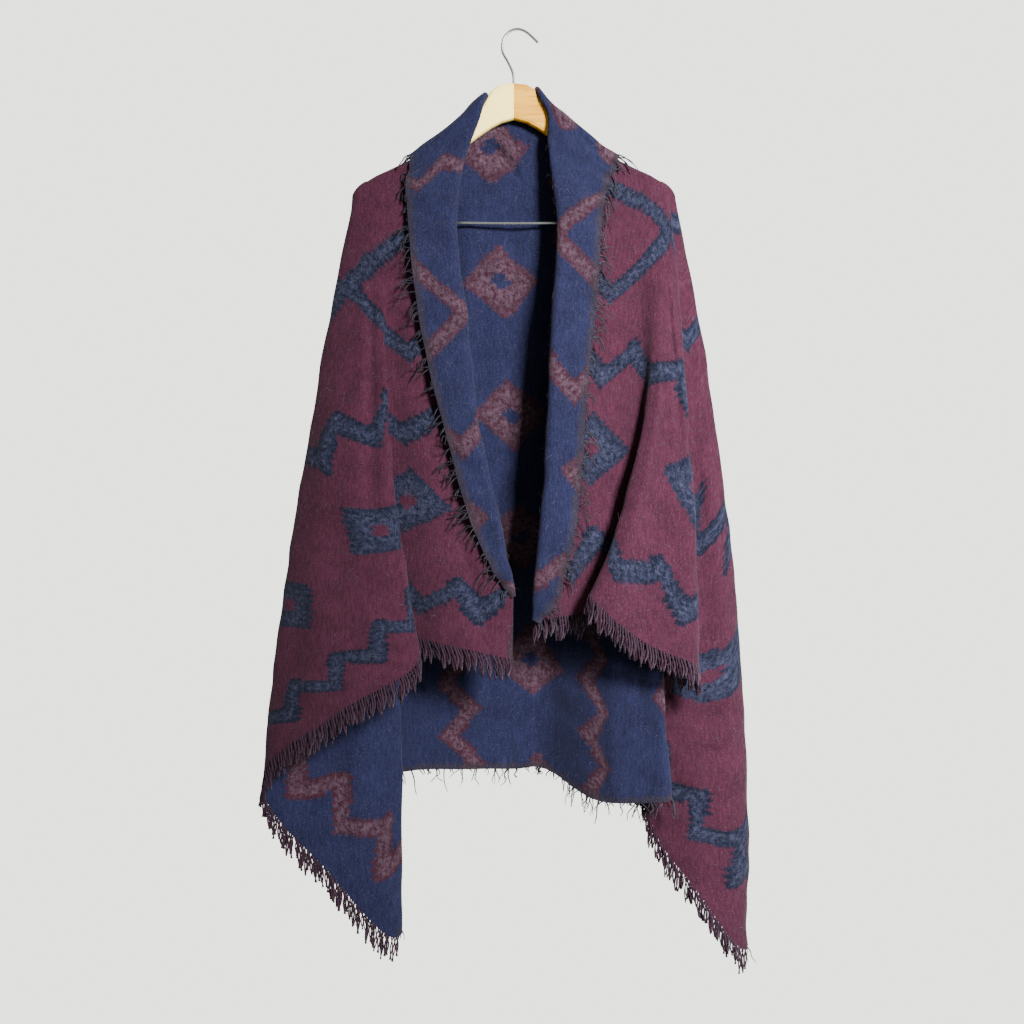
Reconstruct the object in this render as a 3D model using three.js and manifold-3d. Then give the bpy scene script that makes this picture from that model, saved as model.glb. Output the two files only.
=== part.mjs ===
// A fringed wool wrap that hangs like a cape on a wooden hanger.
// Units are millimetres, +Z is up, +X is the viewer's right and -Y faces the viewer.
// The origin is the inside top of the steel hook, where the whole thing hangs.
//
// The cloth is one woven rectangle. It is worked out as one long surface that starts at the roll of the
// left front, goes round the back and ends at the roll of the right front. A row of FOLDS is one line
// of that surface, from the shoulder to the lower edge, and a smooth curve joins the rows.
import * as THREE from 'three';
import Module from 'manifold-3d';

const wasm = await Module();
wasm.setup();

// Driving dimensions
const WALL = 2; // felted wool, through its whole thickness
const SEAM = 0.3; // gap between neighbouring stretches of cloth
const VIEW_DISTANCE = 2000; // the tables give places as seen from here, on the plane of the hanger
const EYE = { across: -8, down: 669 }; // the point of that plane straight ahead of the eye
const HANGER_MIDDLE = -5.6; // the hanger's middle, beside the hook's inside top
const WOOD_THICK = 15;
const HOOK_WIRE = 4; // diameter
const BAR_WIRE = 4;
const HANGER_DEPTH = 13; // the hanger, with the cloth over it, reaches this far to either side of its plane
const LEG_DEPTH = 11; // from the hanger's middle plane to the cloth before and behind an arm
const LEG_DROP = 14; // the arched cloth over an arm reaches this far below its crest
const FRINGE_BAND = 7; // the unwoven band that the strands grow from
const STRAND = 2.6; // width of a strand at its root
const TAPER = 0.6; // share of that width that is lost towards its end
const SHORT_STRAND = 20; // a strand no longer than this is straight

const COLOURS = {
  outside: 0x5e2a3c,
  inside: 0x2b3052,
  fringe: 0x3f2b40,
  wood: 0xd9b98a,
  steel: 0xa9abad,
};

// A place in the tables is across and down as seen, and its depth behind the hanger's plane.
// What lies nearer than that plane looks larger, so its true place is drawn in towards the eye's line.
// Within the hanger's own depth that is left out, so that the cloth over the arms fits them.
function placed(across, down, depth) {
  const beyond = Math.sign(depth) * Math.max(Math.abs(depth) - HANGER_DEPTH, 0);
  const scale = (VIEW_DISTANCE + beyond) / VIEW_DISTANCE;
  const x = EYE.across + (across - EYE.across) * scale;
  const z = -(EYE.down + (down - EYE.down) * scale);
  return new THREE.Vector3(x, depth, z);
}

// The hanger's arm: one row for each section from the middle outwards, heights down from the hook
const ARM = [
  { out: 0, top: 74, bottom: 124 },
  { out: 18, top: 76, bottom: 129 },
  { out: 31, top: 84, bottom: 136 },
  { out: 37, top: 95, bottom: 140 },
  { out: 43, top: 106, bottom: 144 },
  { out: 50, top: 112, bottom: 149 },
  { out: 62, top: 120, bottom: 158 },
  { out: 84, top: 141, bottom: 173 },
  { out: 107, top: 159, bottom: 190 },
  { out: 139, top: 181, bottom: 210 },
  { out: 170, top: 196, bottom: 224 },
  { out: 190, top: 205, bottom: 232 },
  { out: 203, top: 213, bottom: 236 },
];
const TIP = 207; // the cloth rounds the end of the arm about this distance from the middle
const TIP_ROUND = 17;
const SEAT = 0.8; // between the wood and the cloth that lies on it

function readRow(rows, key, at, column) {
  let k = 1;
  while (k < rows.length - 1 && rows[k][key] < at) k += 1;
  const share = (at - rows[k - 1][key]) / (rows[k][key] - rows[k - 1][key]);
  return rows[k - 1][column] + (rows[k][column] - rows[k - 1][column]) * share;
}

// Down from the hook to the crest of the cloth over an arm, its wall seated just above the wood
function crest(across) {
  const out = Math.min(Math.abs(across - HANGER_MIDDLE), TIP);
  return readRow(ARM, 'out', out, 'top') - WALL / 2 - SEAT;
}

// Half the cloth's depth over an arm, which closes round the arm's tip
function legDepth(across) {
  const past = Math.max((Math.abs(across - HANGER_MIDDLE) - TIP) / TIP_ROUND, 0);
  return LEG_DEPTH * Math.sqrt(Math.max(1 - past * past, 0));
}

// The turned-out top edge, from the lower left corner over the neck to the lower right one.
// seam is where it leaves the cloth that it lies on, at that depth, and edge its fringed rim. over is the
// way that it faces: 0 to the viewer, 90 up, 180 to the wall. at is its share of the front's height.
const SADDLE_START = 52; // the collar's roll crosses an arm this far from the middle
const SADDLE_CLEAR = 1.8; // from there to the arched cloth
const LEFT_NECK = HANGER_MIDDLE - SADDLE_START;
const RIGHT_NECK = HANGER_MIDDLE + SADDLE_START;
const NECK_CREST = crest(LEFT_NECK);
const NECK_FOOT = NECK_CREST + LEG_DROP;
const ARCH_SQUARENESS = 0.7; // of the cloth over an arm, where 1 is an ellipse
const ARCH_CORNER = Math.pow(Math.SQRT1_2, ARCH_SQUARENESS);
const CORNER_DEPTH = LEG_DEPTH * ARCH_CORNER;
const NECK_CORNER = NECK_FOOT - LEG_DROP * ARCH_CORNER;
const NECK = [
  { at: 1.0, seam: [-6, 786], edge: [-16, 788], depth: -87, over: 0, lift: 8 },
  { at: 0.87, seam: [-17, 745], edge: [-36, 745], depth: -85, over: 0, lift: 12 },
  { at: 0.76, seam: [-33, 680], edge: [-66, 680], depth: -80, over: 0, lift: 15 },
  { at: 0.58, seam: [-62, 555], edge: [-101, 555], depth: -66, over: 0, lift: 18 },
  { at: 0.39, seam: [-78, 416], edge: [-134, 416], depth: -48, over: 0, lift: 19 },
  { at: 0.21, seam: [-94, 277], edge: [-151, 277], depth: -28, over: 0, lift: 17 },
  { at: 0.09, seam: [-80, 188], edge: [-154, 215], depth: -15, over: 0, lift: 13 },
  { at: 0.0, seam: [LEFT_NECK, NECK_FOOT], edge: [-150, 196], depth: -LEG_DEPTH, over: 0, lift: 9 },
  { at: 0, seam: [LEFT_NECK, NECK_CORNER], edge: [-150, 185], depth: -CORNER_DEPTH, over: 45, lift: 12 },
  { at: 0, seam: [LEFT_NECK, NECK_CREST], edge: [-150, 180], depth: 0, over: 90, lift: 14 },
  { at: 0, seam: [LEFT_NECK, NECK_CORNER], edge: [-148, 187], depth: CORNER_DEPTH, over: 135, lift: 12 },
  { at: 0, seam: [LEFT_NECK, NECK_FOOT], edge: [-140, 200], depth: LEG_DEPTH, over: 180, lift: 9 },
  { at: 0, seam: [-32, 99], edge: [-76, 207], depth: 13, over: 180, lift: 11 },
  { at: 0, seam: [-6, 93], edge: [-6, 202], depth: 13, over: 180, lift: 12 },
  { at: 0, seam: [21, 99], edge: [64, 207], depth: 13, over: 180, lift: 11 },
  { at: 0, seam: [RIGHT_NECK, NECK_FOOT], edge: [128, 200], depth: LEG_DEPTH, over: 180, lift: 9 },
  { at: 0, seam: [RIGHT_NECK, NECK_CORNER], edge: [136, 187], depth: CORNER_DEPTH, over: 135, lift: 12 },
  { at: 0, seam: [RIGHT_NECK, NECK_CREST], edge: [139, 180], depth: 0, over: 90, lift: 14 },
  { at: 0, seam: [RIGHT_NECK, NECK_CORNER], edge: [138, 185], depth: -CORNER_DEPTH, over: 45, lift: 12 },
  { at: 0.0, seam: [RIGHT_NECK, NECK_FOOT], edge: [136, 196], depth: -LEG_DEPTH, over: 0, lift: 9 },
  { at: 0.08, seam: [48, 173], edge: [126, 210], depth: -15, over: 0, lift: 13 },
  { at: 0.2, seam: [62, 262], edge: [117, 262], depth: -28, over: 0, lift: 17 },
  { at: 0.38, seam: [57, 390], edge: [108, 390], depth: -48, over: 0, lift: 19 },
  { at: 0.57, seam: [50, 525], edge: [94, 525], depth: -62, over: 0, lift: 18 },
  { at: 0.78, seam: [40, 675], edge: [82, 680], depth: -76, over: 0, lift: 17 },
  { at: 0.93, seam: [29, 775], edge: [58, 782], depth: -84, over: 0, lift: 14 },
  { at: 1.0, seam: [23, 819], edge: [38, 826], depth: -86, over: 0, lift: 12 },
];
const NECK_LEFT_FRONT = 7;
const NECK_LEFT_CREST = 9;
const NECK_LEFT_BACK = 11;
const NECK_MIDDLE = 13;
const NECK_RIGHT_BACK = 15;
const NECK_RIGHT_CREST = 17;
const NECK_RIGHT_FRONT = 19;
const LEFT_CORNER = [-7, 874, -92]; // the left front ends below its lapel: across, down and depth

// A smooth value between rows, through all of them (Catmull-Rom)
function through(values, at) {
  const last = values.length - 1;
  const k = Math.min(Math.max(Math.floor(at), 0), last - 1);
  const f = at - k;
  const b = values[k];
  const c = values[k + 1];
  const a = k > 0 ? values[k - 1] : 2 * b - c;
  const d = k < last - 1 ? values[k + 2] : 2 * c - b;
  return b + 0.5 * f * (c - a + f * (2 * a - 5 * b + 4 * c - d + f * (3 * (b - c) + d - a)));
}

function neckRow(at) {
  const read = (pick) => through(NECK.map(pick), at);
  return {
    seam: [read((row) => row.seam[0]), read((row) => row.seam[1])],
    edge: [read((row) => row.edge[0]), read((row) => row.edge[1])],
    depth: read((row) => row.depth),
    over: THREE.MathUtils.degToRad(read((row) => row.over)),
    lift: read((row) => row.lift),
  };
}

// The turned-out edge across its width: a half turn round the roll, then flat to the rim, following
// the arm where it crosses one. share 0 is its seam, TURN_SHARE the end of the half turn and 1 the rim.
const TURN_SHARE = 0.4;
const RIM_SETTLES = 0.25; // share of the lift that is lost towards the rim
const ARM_SETTLES = 0.6; // the same over an arm, where the collar stands at the neck and soon lies down
function flapPoint(at, share) {
  const row = neckRow(at);
  const turn = Math.min(share / TURN_SHARE, 1) * Math.PI;
  const run = (share - TURN_SHARE) / (1 - TURN_SHARE);
  const width = Math.hypot(row.edge[0] - row.seam[0], row.edge[1] - row.seam[1]);
  const along = run > 0 ? run : (-Math.sin(turn) * row.lift) / 2 / width;
  const arm = Math.sin(row.over);
  const settled = run * run * RIM_SETTLES * (1 - arm) + run * (2 - run) * ARM_SETTLES * arm;
  const lift = run > 0 ? row.lift * (1 - settled) : (row.lift / 2) * (1 - Math.cos(turn));
  const across = row.seam[0] + (row.edge[0] - row.seam[0]) * along;
  const straight = row.seam[1] + (row.edge[1] - row.seam[1]) * along;
  const down = straight + (crest(across) - straight) * arm * Math.max(run, 0) - lift * arm;
  return placed(across, down, row.depth - lift * Math.cos(row.over));
}

// Where the front's inner line runs: the seam under the roll, and on the left the free edge below it
const LEFT_ROLL_ENDS = 0.88;
function neckIndex(side, v) {
  const rows = NECK.map((row, k) => ({ at: row.at, k }));
  const mine = side === 'left' ? rows.slice(0, NECK_LEFT_FRONT + 1).reverse() : rows.slice(NECK_RIGHT_FRONT);
  const reach = side === 'left' ? LEFT_ROLL_ENDS : 1;
  return readRow(mine, 'at', Math.min(Math.max(v / reach, 0), 1), 'k');
}

function frontInner(side, v) {
  const row = neckRow(neckIndex(side, v));
  const point = [...row.seam, row.depth];
  if (v <= LEFT_ROLL_ENDS || side === 'right') return point;
  const below = (v - LEFT_ROLL_ENDS) / (1 - LEFT_ROLL_ENDS);
  return point.map((value, k) => value + (LEFT_CORNER[k] - value) * below);
}

// One row for each line of the hanging cloth, in its order round the garment. top is where it leaves the
// shoulder and leg the side of the arm, -1 before it and 1 behind. x and depth are read half way down
// and at the lower edge, which is that far down. Lines at the neck hang from the collar's seam.
const FOLDS = [
  { line: 'left roll', follows: 'left' },
  { line: 'left front, inner part', top: -118, leg: -1, x: [-122, -64], depth: [-58, -94], down: 860 },
  { line: 'left pleat, hidden turn', top: -168, leg: -1, x: [-188, -205], depth: [-50, -62], down: 838 },
  { line: 'left pleat, edge that shows', top: -188, leg: -1, x: [-180, -136], depth: [-62, -110], down: 868 },
  { line: 'left front, outer part', top: -205, leg: -1, x: [-236, -246], depth: [-62, -112], down: 946 },
  { line: 'left outline', top: -225, leg: -1, x: [-300, -352], depth: [-32, -70], down: 1040 },
  { line: 'left side', top: -229.3, leg: 1, x: [-240, -262], depth: [-19, -54], down: 1165 },
  { line: 'left side, turn above the corner', top: -225, leg: 1, x: [-174, -165], depth: [-9, -40], down: 1255 },
  { line: 'left folds, first turn', top: -217, leg: 1, x: [-224, -246], depth: [0, -22], down: 1110 },
  { line: 'left folds, second turn', top: -205, leg: 1, x: [-180, -176], depth: [9, -5], down: 1075 },
  { line: 'left folds, third turn', top: -190, leg: 1, x: [-200, -222], depth: [18, 7], down: 1052 },
  { line: 'back, left side', top: -168, leg: 1, x: [-152, -150], depth: [25, 17], down: 1031 },
  { line: 'back, left middle', top: -105, leg: 1, x: [-90, -78], depth: [23, 19], down: 1029 },
  { line: 'back, left of the neck', neck: NECK_LEFT_BACK, x: [-46, -40], depth: [23, 20], down: 1028 },
  { line: 'back, neck', neck: NECK_MIDDLE, x: [-2, 0], depth: [22, 20], down: 1028 },
  { line: 'back, crease', neck: NECK_RIGHT_BACK, x: [36, 26], depth: [21, 20], down: 1025 },
  { line: 'back, forward part begins', top: 104, leg: 1, x: [106, 112], depth: [-2, -48], down: 1068 },
  { line: 'back, forward part', top: 150, leg: 1, x: [150, 160], depth: [-20, -70], down: 1071 },
  { line: 'back, forward turn', top: 180, leg: 1, x: [186, 212], depth: [-28, -78], down: 1066 },
  { line: 'right folds, hidden turn', top: 196, leg: 1, x: [164, 122], depth: [8, -20], down: 1052 },
  { line: 'right folds', top: 210, leg: 1, x: [222, 222], depth: [6, -14], down: 1104 },
  { line: 'right outline', top: 218, leg: 1, x: [297, 313], depth: [-14, -42], down: 1272 },
  { line: 'right side', top: 216, leg: -1, x: [250, 250], depth: [-24, -56], down: 1196 },
  { line: 'right side, hidden turn', top: 210, leg: -1, x: [217, 182], depth: [-23, -28], down: 1088 },
  { line: 'right inner fold', top: 204, leg: -1, x: [230, 202], depth: [-48, -45], down: 893 },
  { line: 'right ridge, outer edge', top: 196, leg: -1, x: [235, 249], depth: [-62, -98], down: 885 },
  { line: 'right ridge', top: 185, leg: -1, x: [206, 172], depth: [-66, -114], down: 848 },
  { line: 'right ridge, inner edge', top: 170, leg: -1, x: [182, 99], depth: [-60, -112], down: 783 },
  { line: 'right pleat, hidden turn', top: 150, leg: -1, x: [172, 146], depth: [-42, -60], down: 802 },
  { line: 'right front, inner part', top: 100, leg: -1, x: [100, 70], depth: [-48, -74], down: 812 },
  { line: 'right roll', follows: 'right' },
];
const LAST_LINE = FOLDS.length - 1;
const NECK_LINES = { first: 13, middle: 14, last: 15 };

function throughThree([a, b, c], v) {
  return a * (1 - v) * (1 - 2 * v) + b * 4 * v * (1 - v) + c * v * (2 * v - 1);
}

// The place of a line's top: across, down and depth
function lineTop(row) {
  if ('neck' in row) {
    const { seam, depth } = neckRow(row.neck);
    return [...seam, depth];
  }
  return [row.top, crest(row.top) + LEG_DROP, row.leg * legDepth(row.top)];
}

function foldPoint(k, v) {
  const row = FOLDS[k];
  if (row.follows) return frontInner(row.follows, v);
  const [across, down, depth] = lineTop(row);
  return [
    throughThree([across, ...row.x], v),
    down + (row.down - down) * v,
    throughThree([depth, ...row.depth], v),
  ];
}

// The hanging cloth: u counts the rows of FOLDS and v runs from the shoulder, 0, to the lower edge, 1.
// Between two rows it is a cubic whose ends leave along the middle of the two directions there, so that
// it runs straight through on a flat stretch and makes a round nose where the cloth turns back.
const NOSE_FULLNESS = 0.48;
function betweenLines(u, v) {
  const k = Math.min(Math.max(Math.floor(u), 0), LAST_LINE - 1);
  const f = u - k;
  const line = (n) => new THREE.Vector3(...foldPoint(n, v));
  const start = line(k);
  const end = line(k + 1);
  const chord = end.clone().sub(start);
  const before = k > 0 ? start.clone().sub(line(k - 1)) : chord.clone();
  const after = k < LAST_LINE - 1 ? line(k + 2).sub(end) : chord.clone();
  const leave = (one, two) => {
    const sum = one.clone().normalize().add(two.clone().normalize());
    const agree = sum.length() / 2;
    return sum.normalize().multiplyScalar(chord.length() * (NOSE_FULLNESS + (1 - NOSE_FULLNESS) * agree));
  };
  const m0 = leave(before, chord);
  const m1 = leave(chord, after);
  const f2 = f * f;
  const f3 = f2 * f;
  return start.multiplyScalar(2 * f3 - 3 * f2 + 1)
    .addScaledVector(m0, f3 - 2 * f2 + f)
    .addScaledVector(end, 3 * f2 - 2 * f3)
    .addScaledVector(m1, f3 - f2);
}

// The line along the shoulders and the back of the neck that the cloth hangs from
function hangingLine(u, across) {
  if (u > NECK_LINES.first && u < NECK_LINES.last) {
    const share = (u - NECK_LINES.first) / (NECK_LINES.last - NECK_LINES.first);
    const { seam, depth } = neckRow(NECK_LEFT_BACK + (NECK_RIGHT_BACK - NECK_LEFT_BACK) * share);
    return [...seam, depth];
  }
  const leftTip = 5.7;
  const rightTip = 21.4;
  const leg = u < leftTip || u > rightTip ? -1 : 1;
  return [across, crest(across) + LEG_DROP, leg * legDepth(across)];
}

const HANG_FADES = 10; // the hanging line is kept to exactly at the top, and soon left below it
function clothPoint(u, v) {
  const point = betweenLines(u, v);
  const top = betweenLines(u, 0);
  const [across, down, depth] = hangingLine(u, top.x);
  const keep = Math.pow(1 - Math.min(Math.max(v, 0), 1), HANG_FADES);
  return placed(
    point.x + (across - top.x) * keep,
    point.y + (down - top.y) * keep,
    point.z + (depth - top.z) * keep,
  );
}

// The cloth over an arm: an arch from its front leg over the crest to its back leg, closing round the tip.
// out is the distance from the hanger's middle, and round runs from the front, 0, to the back, 1.
const NECK_OUT = SADDLE_START + SADDLE_CLEAR;
const TIP_STEPS = [0, 0.35, 0.6, 0.8, 0.96].map((share) => TIP + TIP_ROUND * share);
const SADDLE_OUTS = [NECK_OUT, ...ARM.map((row) => row.out).filter((out) => out > NECK_OUT), ...TIP_STEPS];
function saddlePoint(side, out, round) {
  const across = side === 'left' ? HANGER_MIDDLE - out : HANGER_MIDDLE + out;
  const half = legDepth(across);
  const turn = Math.PI * Math.min(Math.max(round, 0), 1);
  const squared = (value) => Math.sign(value) * Math.pow(Math.abs(value), ARCH_SQUARENESS);
  const rise = LEG_DROP * (half / LEG_DEPTH) * squared(Math.sin(turn));
  return placed(across, crest(across) + LEG_DROP - rise, -half * squared(Math.cos(turn)));
}

// Walls

function steps(from, to, count) {
  return Array.from({ length: count + 1 }, (_, k) => from + ((to - from) * k) / count);
}

// A thin wall about a surface: its points moved half the wall out on each side, closed by a rim.
// trim draws each side of the grid in by that much, which leaves the gap at a seam.
function wall(surface, across, along, trim = SEAM / 2, thick = WALL) {
  const tiny = 1e-3;
  const slope = (a, b) => b.clone().sub(a).normalize();
  const spans = { u: across[across.length - 1] - across[0], v: along[along.length - 1] - along[0] };
  const points = [];
  for (const u of across) {
    for (const v of along) {
      const here = surface(u, v);
      const du = slope(surface(u - tiny * spans.u, v), surface(u + tiny * spans.u, v));
      const dv = slope(surface(u, v - tiny * spans.v), surface(u, v + tiny * spans.v));
      const normal = du.clone().cross(dv).normalize();
      if (u === across[0]) here.addScaledVector(du, trim);
      if (u === across[across.length - 1]) here.addScaledVector(du, -trim);
      if (v === along[0]) here.addScaledVector(dv, trim);
      if (v === along[along.length - 1]) here.addScaledVector(dv, -trim);
      points.push(here.clone().addScaledVector(normal, thick / 2), here.clone().addScaledVector(normal, -thick / 2));
    }
  }
  const rows = along.length;
  const at = (i, j, face) => 2 * (i * rows + j) + face;
  const faces = [];
  const quad = (a, b, c, d) => faces.push(a, b, c, a, c, d);
  for (let i = 0; i < across.length - 1; i += 1) {
    for (let j = 0; j < rows - 1; j += 1) {
      quad(at(i, j, 0), at(i + 1, j, 0), at(i + 1, j + 1, 0), at(i, j + 1, 0));
      quad(at(i, j, 1), at(i, j + 1, 1), at(i + 1, j + 1, 1), at(i + 1, j, 1));
    }
    quad(at(i, 0, 1), at(i + 1, 0, 1), at(i + 1, 0, 0), at(i, 0, 0));
    quad(at(i, rows - 1, 0), at(i + 1, rows - 1, 0), at(i + 1, rows - 1, 1), at(i, rows - 1, 1));
  }
  const last = across.length - 1;
  for (let j = 0; j < rows - 1; j += 1) {
    quad(at(0, j, 0), at(0, j + 1, 0), at(0, j + 1, 1), at(0, j, 1));
    quad(at(last, j, 1), at(last, j + 1, 1), at(last, j + 1, 0), at(last, j, 0));
  }
  return solid(points, faces);
}

function solid(points, faces) {
  const mesh = new wasm.Mesh({
    numProp: 3,
    vertProperties: Float32Array.from(points.flatMap((p) => [p.x, p.y, p.z])),
    triVerts: Uint32Array.from(faces),
  });
  return new wasm.Manifold(mesh);
}

function geometryOf(body) {
  const mesh = body.getMesh();
  const geometry = new THREE.BufferGeometry();
  geometry.setAttribute('position', new THREE.BufferAttribute(new Float32Array(mesh.vertProperties), 3));
  geometry.setIndex(new THREE.BufferAttribute(new Uint32Array(mesh.triVerts), 1));
  return geometry;
}

function piece(name, geometry, colour, roughness = 0.95, metalness = 0) {
  const mesh = new THREE.Mesh(geometry, new THREE.MeshStandardMaterial({ color: colour, roughness, metalness }));
  mesh.name = name;
  return mesh;
}

// Fringe

// Strands that hang from a narrow band beyond an edge. surface(u, v) has that edge at v = edgeAt, and the
// band goes on past it. A strand leaves along the band and soon hangs down.
// The band's stations are those of the wall that it continues, and strands share its gaps evenly.
function fringe(surface, stations, count, length, lean) {
  const bandPoint = (u, v) => {
    const rim = surface(u, 1);
    const out = rim.clone().sub(surface(u, 0.98)).normalize();
    return rim.addScaledVector(out, v);
  };
  let body = wall(bandPoint, stations, [SEAM / 2, FRINGE_BAND]);
  for (let k = 0; k < count; k += 1) {
    const place = ((k + 0.5) / count) * (stations.length - 1);
    const gap = Math.floor(place);
    const onBand = (v) => bandPoint(stations[gap], v).lerp(bandPoint(stations[gap + 1], v), place - gap);
    const root = onBand(FRINGE_BAND - 2);
    const out = root.clone().sub(onBand(0)).normalize();
    const sway = 3 * Math.sin(k * 2.4) + lean;
    const reach = length * (0.85 + 0.15 * Math.sin(k * 1.7));
    const knee = root.clone().addScaledVector(out, reach * 0.35);
    knee.z -= reach * 0.15;
    const end = knee.clone().add(new THREE.Vector3(sway, -1, -reach * 0.6));
    body = body.add(strand(length > SHORT_STRAND ? [root, knee, end] : [root, end]));
  }
  return body;
}

// A strand is a tapered three-sided bar through its points
function strand(route) {
  const side = new THREE.Vector3(1, 0, 0);
  const points = [];
  route.forEach((p, k) => {
    const next = route[Math.min(k + 1, route.length - 1)];
    const prior = route[Math.max(k - 1, 0)];
    const along = next.clone().sub(prior).normalize();
    const front = side.clone().cross(along).normalize();
    const width = STRAND * (1 - (TAPER * k) / (route.length - 1));
    points.push(
      p.clone().addScaledVector(side, -width / 2).addScaledVector(front, -width / 3),
      p.clone().addScaledVector(side, width / 2).addScaledVector(front, -width / 3),
      p.clone().addScaledVector(front, (width * 2) / 3),
    );
  });
  const faces = [];
  for (let k = 0; k < route.length - 1; k += 1) {
    for (let s = 0; s < 3; s += 1) {
      const a = 3 * k + s;
      const b = 3 * k + ((s + 1) % 3);
      faces.push(a, b, b + 3, a, b + 3, a + 3);
    }
  }
  const end = 3 * (route.length - 1);
  faces.push(2, 1, 0, end, end + 1, end + 2);
  const body = solid(points, faces);
  return body.volume() < 0 ? solid(points, faces.reverse()) : body;
}

// The cloth's stretches: the rows of FOLDS that each runs between, with the steps between them
const STRETCHES = [
  { name: 'front_left_inner', stations: steps(0, 2, 8), colour: COLOURS.outside },
  { name: 'front_left', stations: steps(2, 4.5, 10), colour: COLOURS.outside },
  { name: 'side_left', stations: steps(4.5, 7.5, 13), colour: COLOURS.inside },
  { name: 'folds_left', stations: steps(7.5, 11, 13), colour: COLOURS.outside },
  {
    name: 'back_panel',
    stations: [...steps(11, 13, 4), ...steps(13, 15, 8).slice(1), ...steps(15, 18.5, 9).slice(1)],
    colour: COLOURS.inside,
  },
  { name: 'folds_right', stations: steps(18.5, 20.5, 8), colour: COLOURS.inside },
  { name: 'side_right', stations: steps(20.5, 24.5, 16), colour: COLOURS.outside },
  { name: 'front_right', stations: steps(24.5, LAST_LINE, 20), colour: COLOURS.outside },
];
// The fringe below each: the stations of the stretch that it runs between, its strands and their length
const FRINGES = [
  { name: 'fringe_front_left_inner', below: 'front_left_inner', between: [0, 8], strands: 12, length: 26 },
  { name: 'fringe_front_left', below: 'front_left', between: [5, 10], strands: 12, length: 26 },
  { name: 'fringe_side_left', below: 'side_left', between: [4, 11], strands: 14, length: 28 },
  { name: 'fringe_hem_left', below: 'folds_left', between: [1, 12], strands: 7, length: 18 },
  { name: 'fringe_hem_back', below: 'back_panel', between: [0, 19], strands: 14, length: 16 },
  { name: 'fringe_hem_right', below: 'folds_right', between: [3, 7], strands: 5, length: 18 },
  { name: 'fringe_side_right', below: 'side_right', between: [3, 9], strands: 10, length: 28 },
  { name: 'fringe_front_right', below: 'front_right', between: [0, 20], strands: 24, length: 26 },
];
const FRONT_ROWS = [0, 0.09, 0.18, 0.28, 0.38, 0.48, 0.58, 0.67, 0.77, 0.88, 1];
const TOP_CLEAR = 0.0014; // the cloth starts this share of its drop below the shoulder's foot

// The turned-out edge's stretches have the fronts' own rows, so that their seams meet
const LAPEL_LEFT_ROWS = FRONT_ROWS.filter((v) => v <= LEFT_ROLL_ENDS).reverse().map((v) => neckIndex('left', v));
const LAPEL_RIGHT_ROWS = FRONT_ROWS.map((v) => neckIndex('right', v));
const FLAPS = [
  {
    name: 'lapel_left',
    rows: [...LAPEL_LEFT_ROWS, ...steps(NECK_LEFT_FRONT, NECK_LEFT_CREST, 4).slice(1)],
    fringe: [0, LAPEL_LEFT_ROWS.length - 1],
    strands: 14,
    lean: -3,
  },
  { name: 'collar_back', rows: steps(NECK_LEFT_CREST, NECK_RIGHT_CREST, 16), fringe: [4, 12], strands: 8, lean: 0 },
  {
    name: 'lapel_right',
    rows: [...steps(NECK_RIGHT_CREST, NECK_RIGHT_FRONT, 4), ...LAPEL_RIGHT_ROWS.slice(1)],
    fringe: [4, LAPEL_RIGHT_ROWS.length + 3],
    strands: 14,
    lean: 4,
  },
];
const FLAP_STEPS = [0, 0.1, 0.2, 0.3, 0.4, 0.7, 1];
const FLAP_FRINGE_LENGTH = 16;

// The hanger

function woodenArms() {
  const right = ARM.slice(1);
  const left = [...right].reverse();
  const tops = [...left.map((row) => [-row.out, -row.top]), [0, -ARM[0].top], ...right.map((row) => [row.out, -row.top])];
  const bottoms = [
    ...left.map((row) => [row.out, -row.bottom]),
    [0, -ARM[0].bottom],
    ...right.map((row) => [-row.out, -row.bottom]),
  ];
  const outline = new THREE.Shape();
  tops.forEach(([x, z], k) => (k ? outline.lineTo(x, z) : outline.moveTo(x, z)));
  bottoms.forEach(([x, z]) => outline.lineTo(x, z));
  outline.closePath();
  const bevel = 4.5;
  const geometry = new THREE.ExtrudeGeometry(outline, {
    depth: WOOD_THICK - 2 * bevel,
    bevelEnabled: true,
    bevelThickness: bevel,
    bevelSize: bevel,
    bevelOffset: -bevel,
    bevelSegments: 2,
    steps: 1,
  });
  geometry.translate(HANGER_MIDDLE, 0, -(WOOD_THICK - 2 * bevel) / 2);
  geometry.rotateX(Math.PI / 2);
  return geometry;
}

function bentWire(route, diameter, count) {
  const curve = new THREE.CatmullRomCurve3(route.map(([x, down]) => new THREE.Vector3(x, 0, -down)));
  const section = new THREE.Shape();
  section.absarc(0, 0, diameter / 2, 0, 2 * Math.PI);
  return new THREE.ExtrudeGeometry(section, { steps: count, curveSegments: 4, extrudePath: curve, bevelEnabled: false });
}

function hook() {
  const top = -HOOK_WIRE / 2; // so that the wire's inside touches the origin
  const foot = ARM[0].top - SEAM;
  const route = [
    [HANGER_MIDDLE, foot], [HANGER_MIDDLE - 1, 60], [-13, 45], [-21.5, 28], [-19, 10],
    [-10, 0.5], [0, top], [10, 1], [19, 8], [28, 17],
  ];
  return bentWire(route, HOOK_WIRE, 30);
}

function trouserBar() {
  const out = 140;
  const level = 264;
  const under = readRow(ARM, 'out', out, 'bottom') + SEAM + 0.8;
  const bend = 12;
  const half = (sign) => [
    [HANGER_MIDDLE + sign * out, under],
    [HANGER_MIDDLE + sign * out, level - bend],
    [HANGER_MIDDLE + sign * (out - bend * 0.3), level - bend * 0.3],
    [HANGER_MIDDLE + sign * (out - bend), level],
  ];
  return bentWire([...half(-1), ...half(1).reverse()], BAR_WIRE, 28);
}

// The whole wrap

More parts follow.
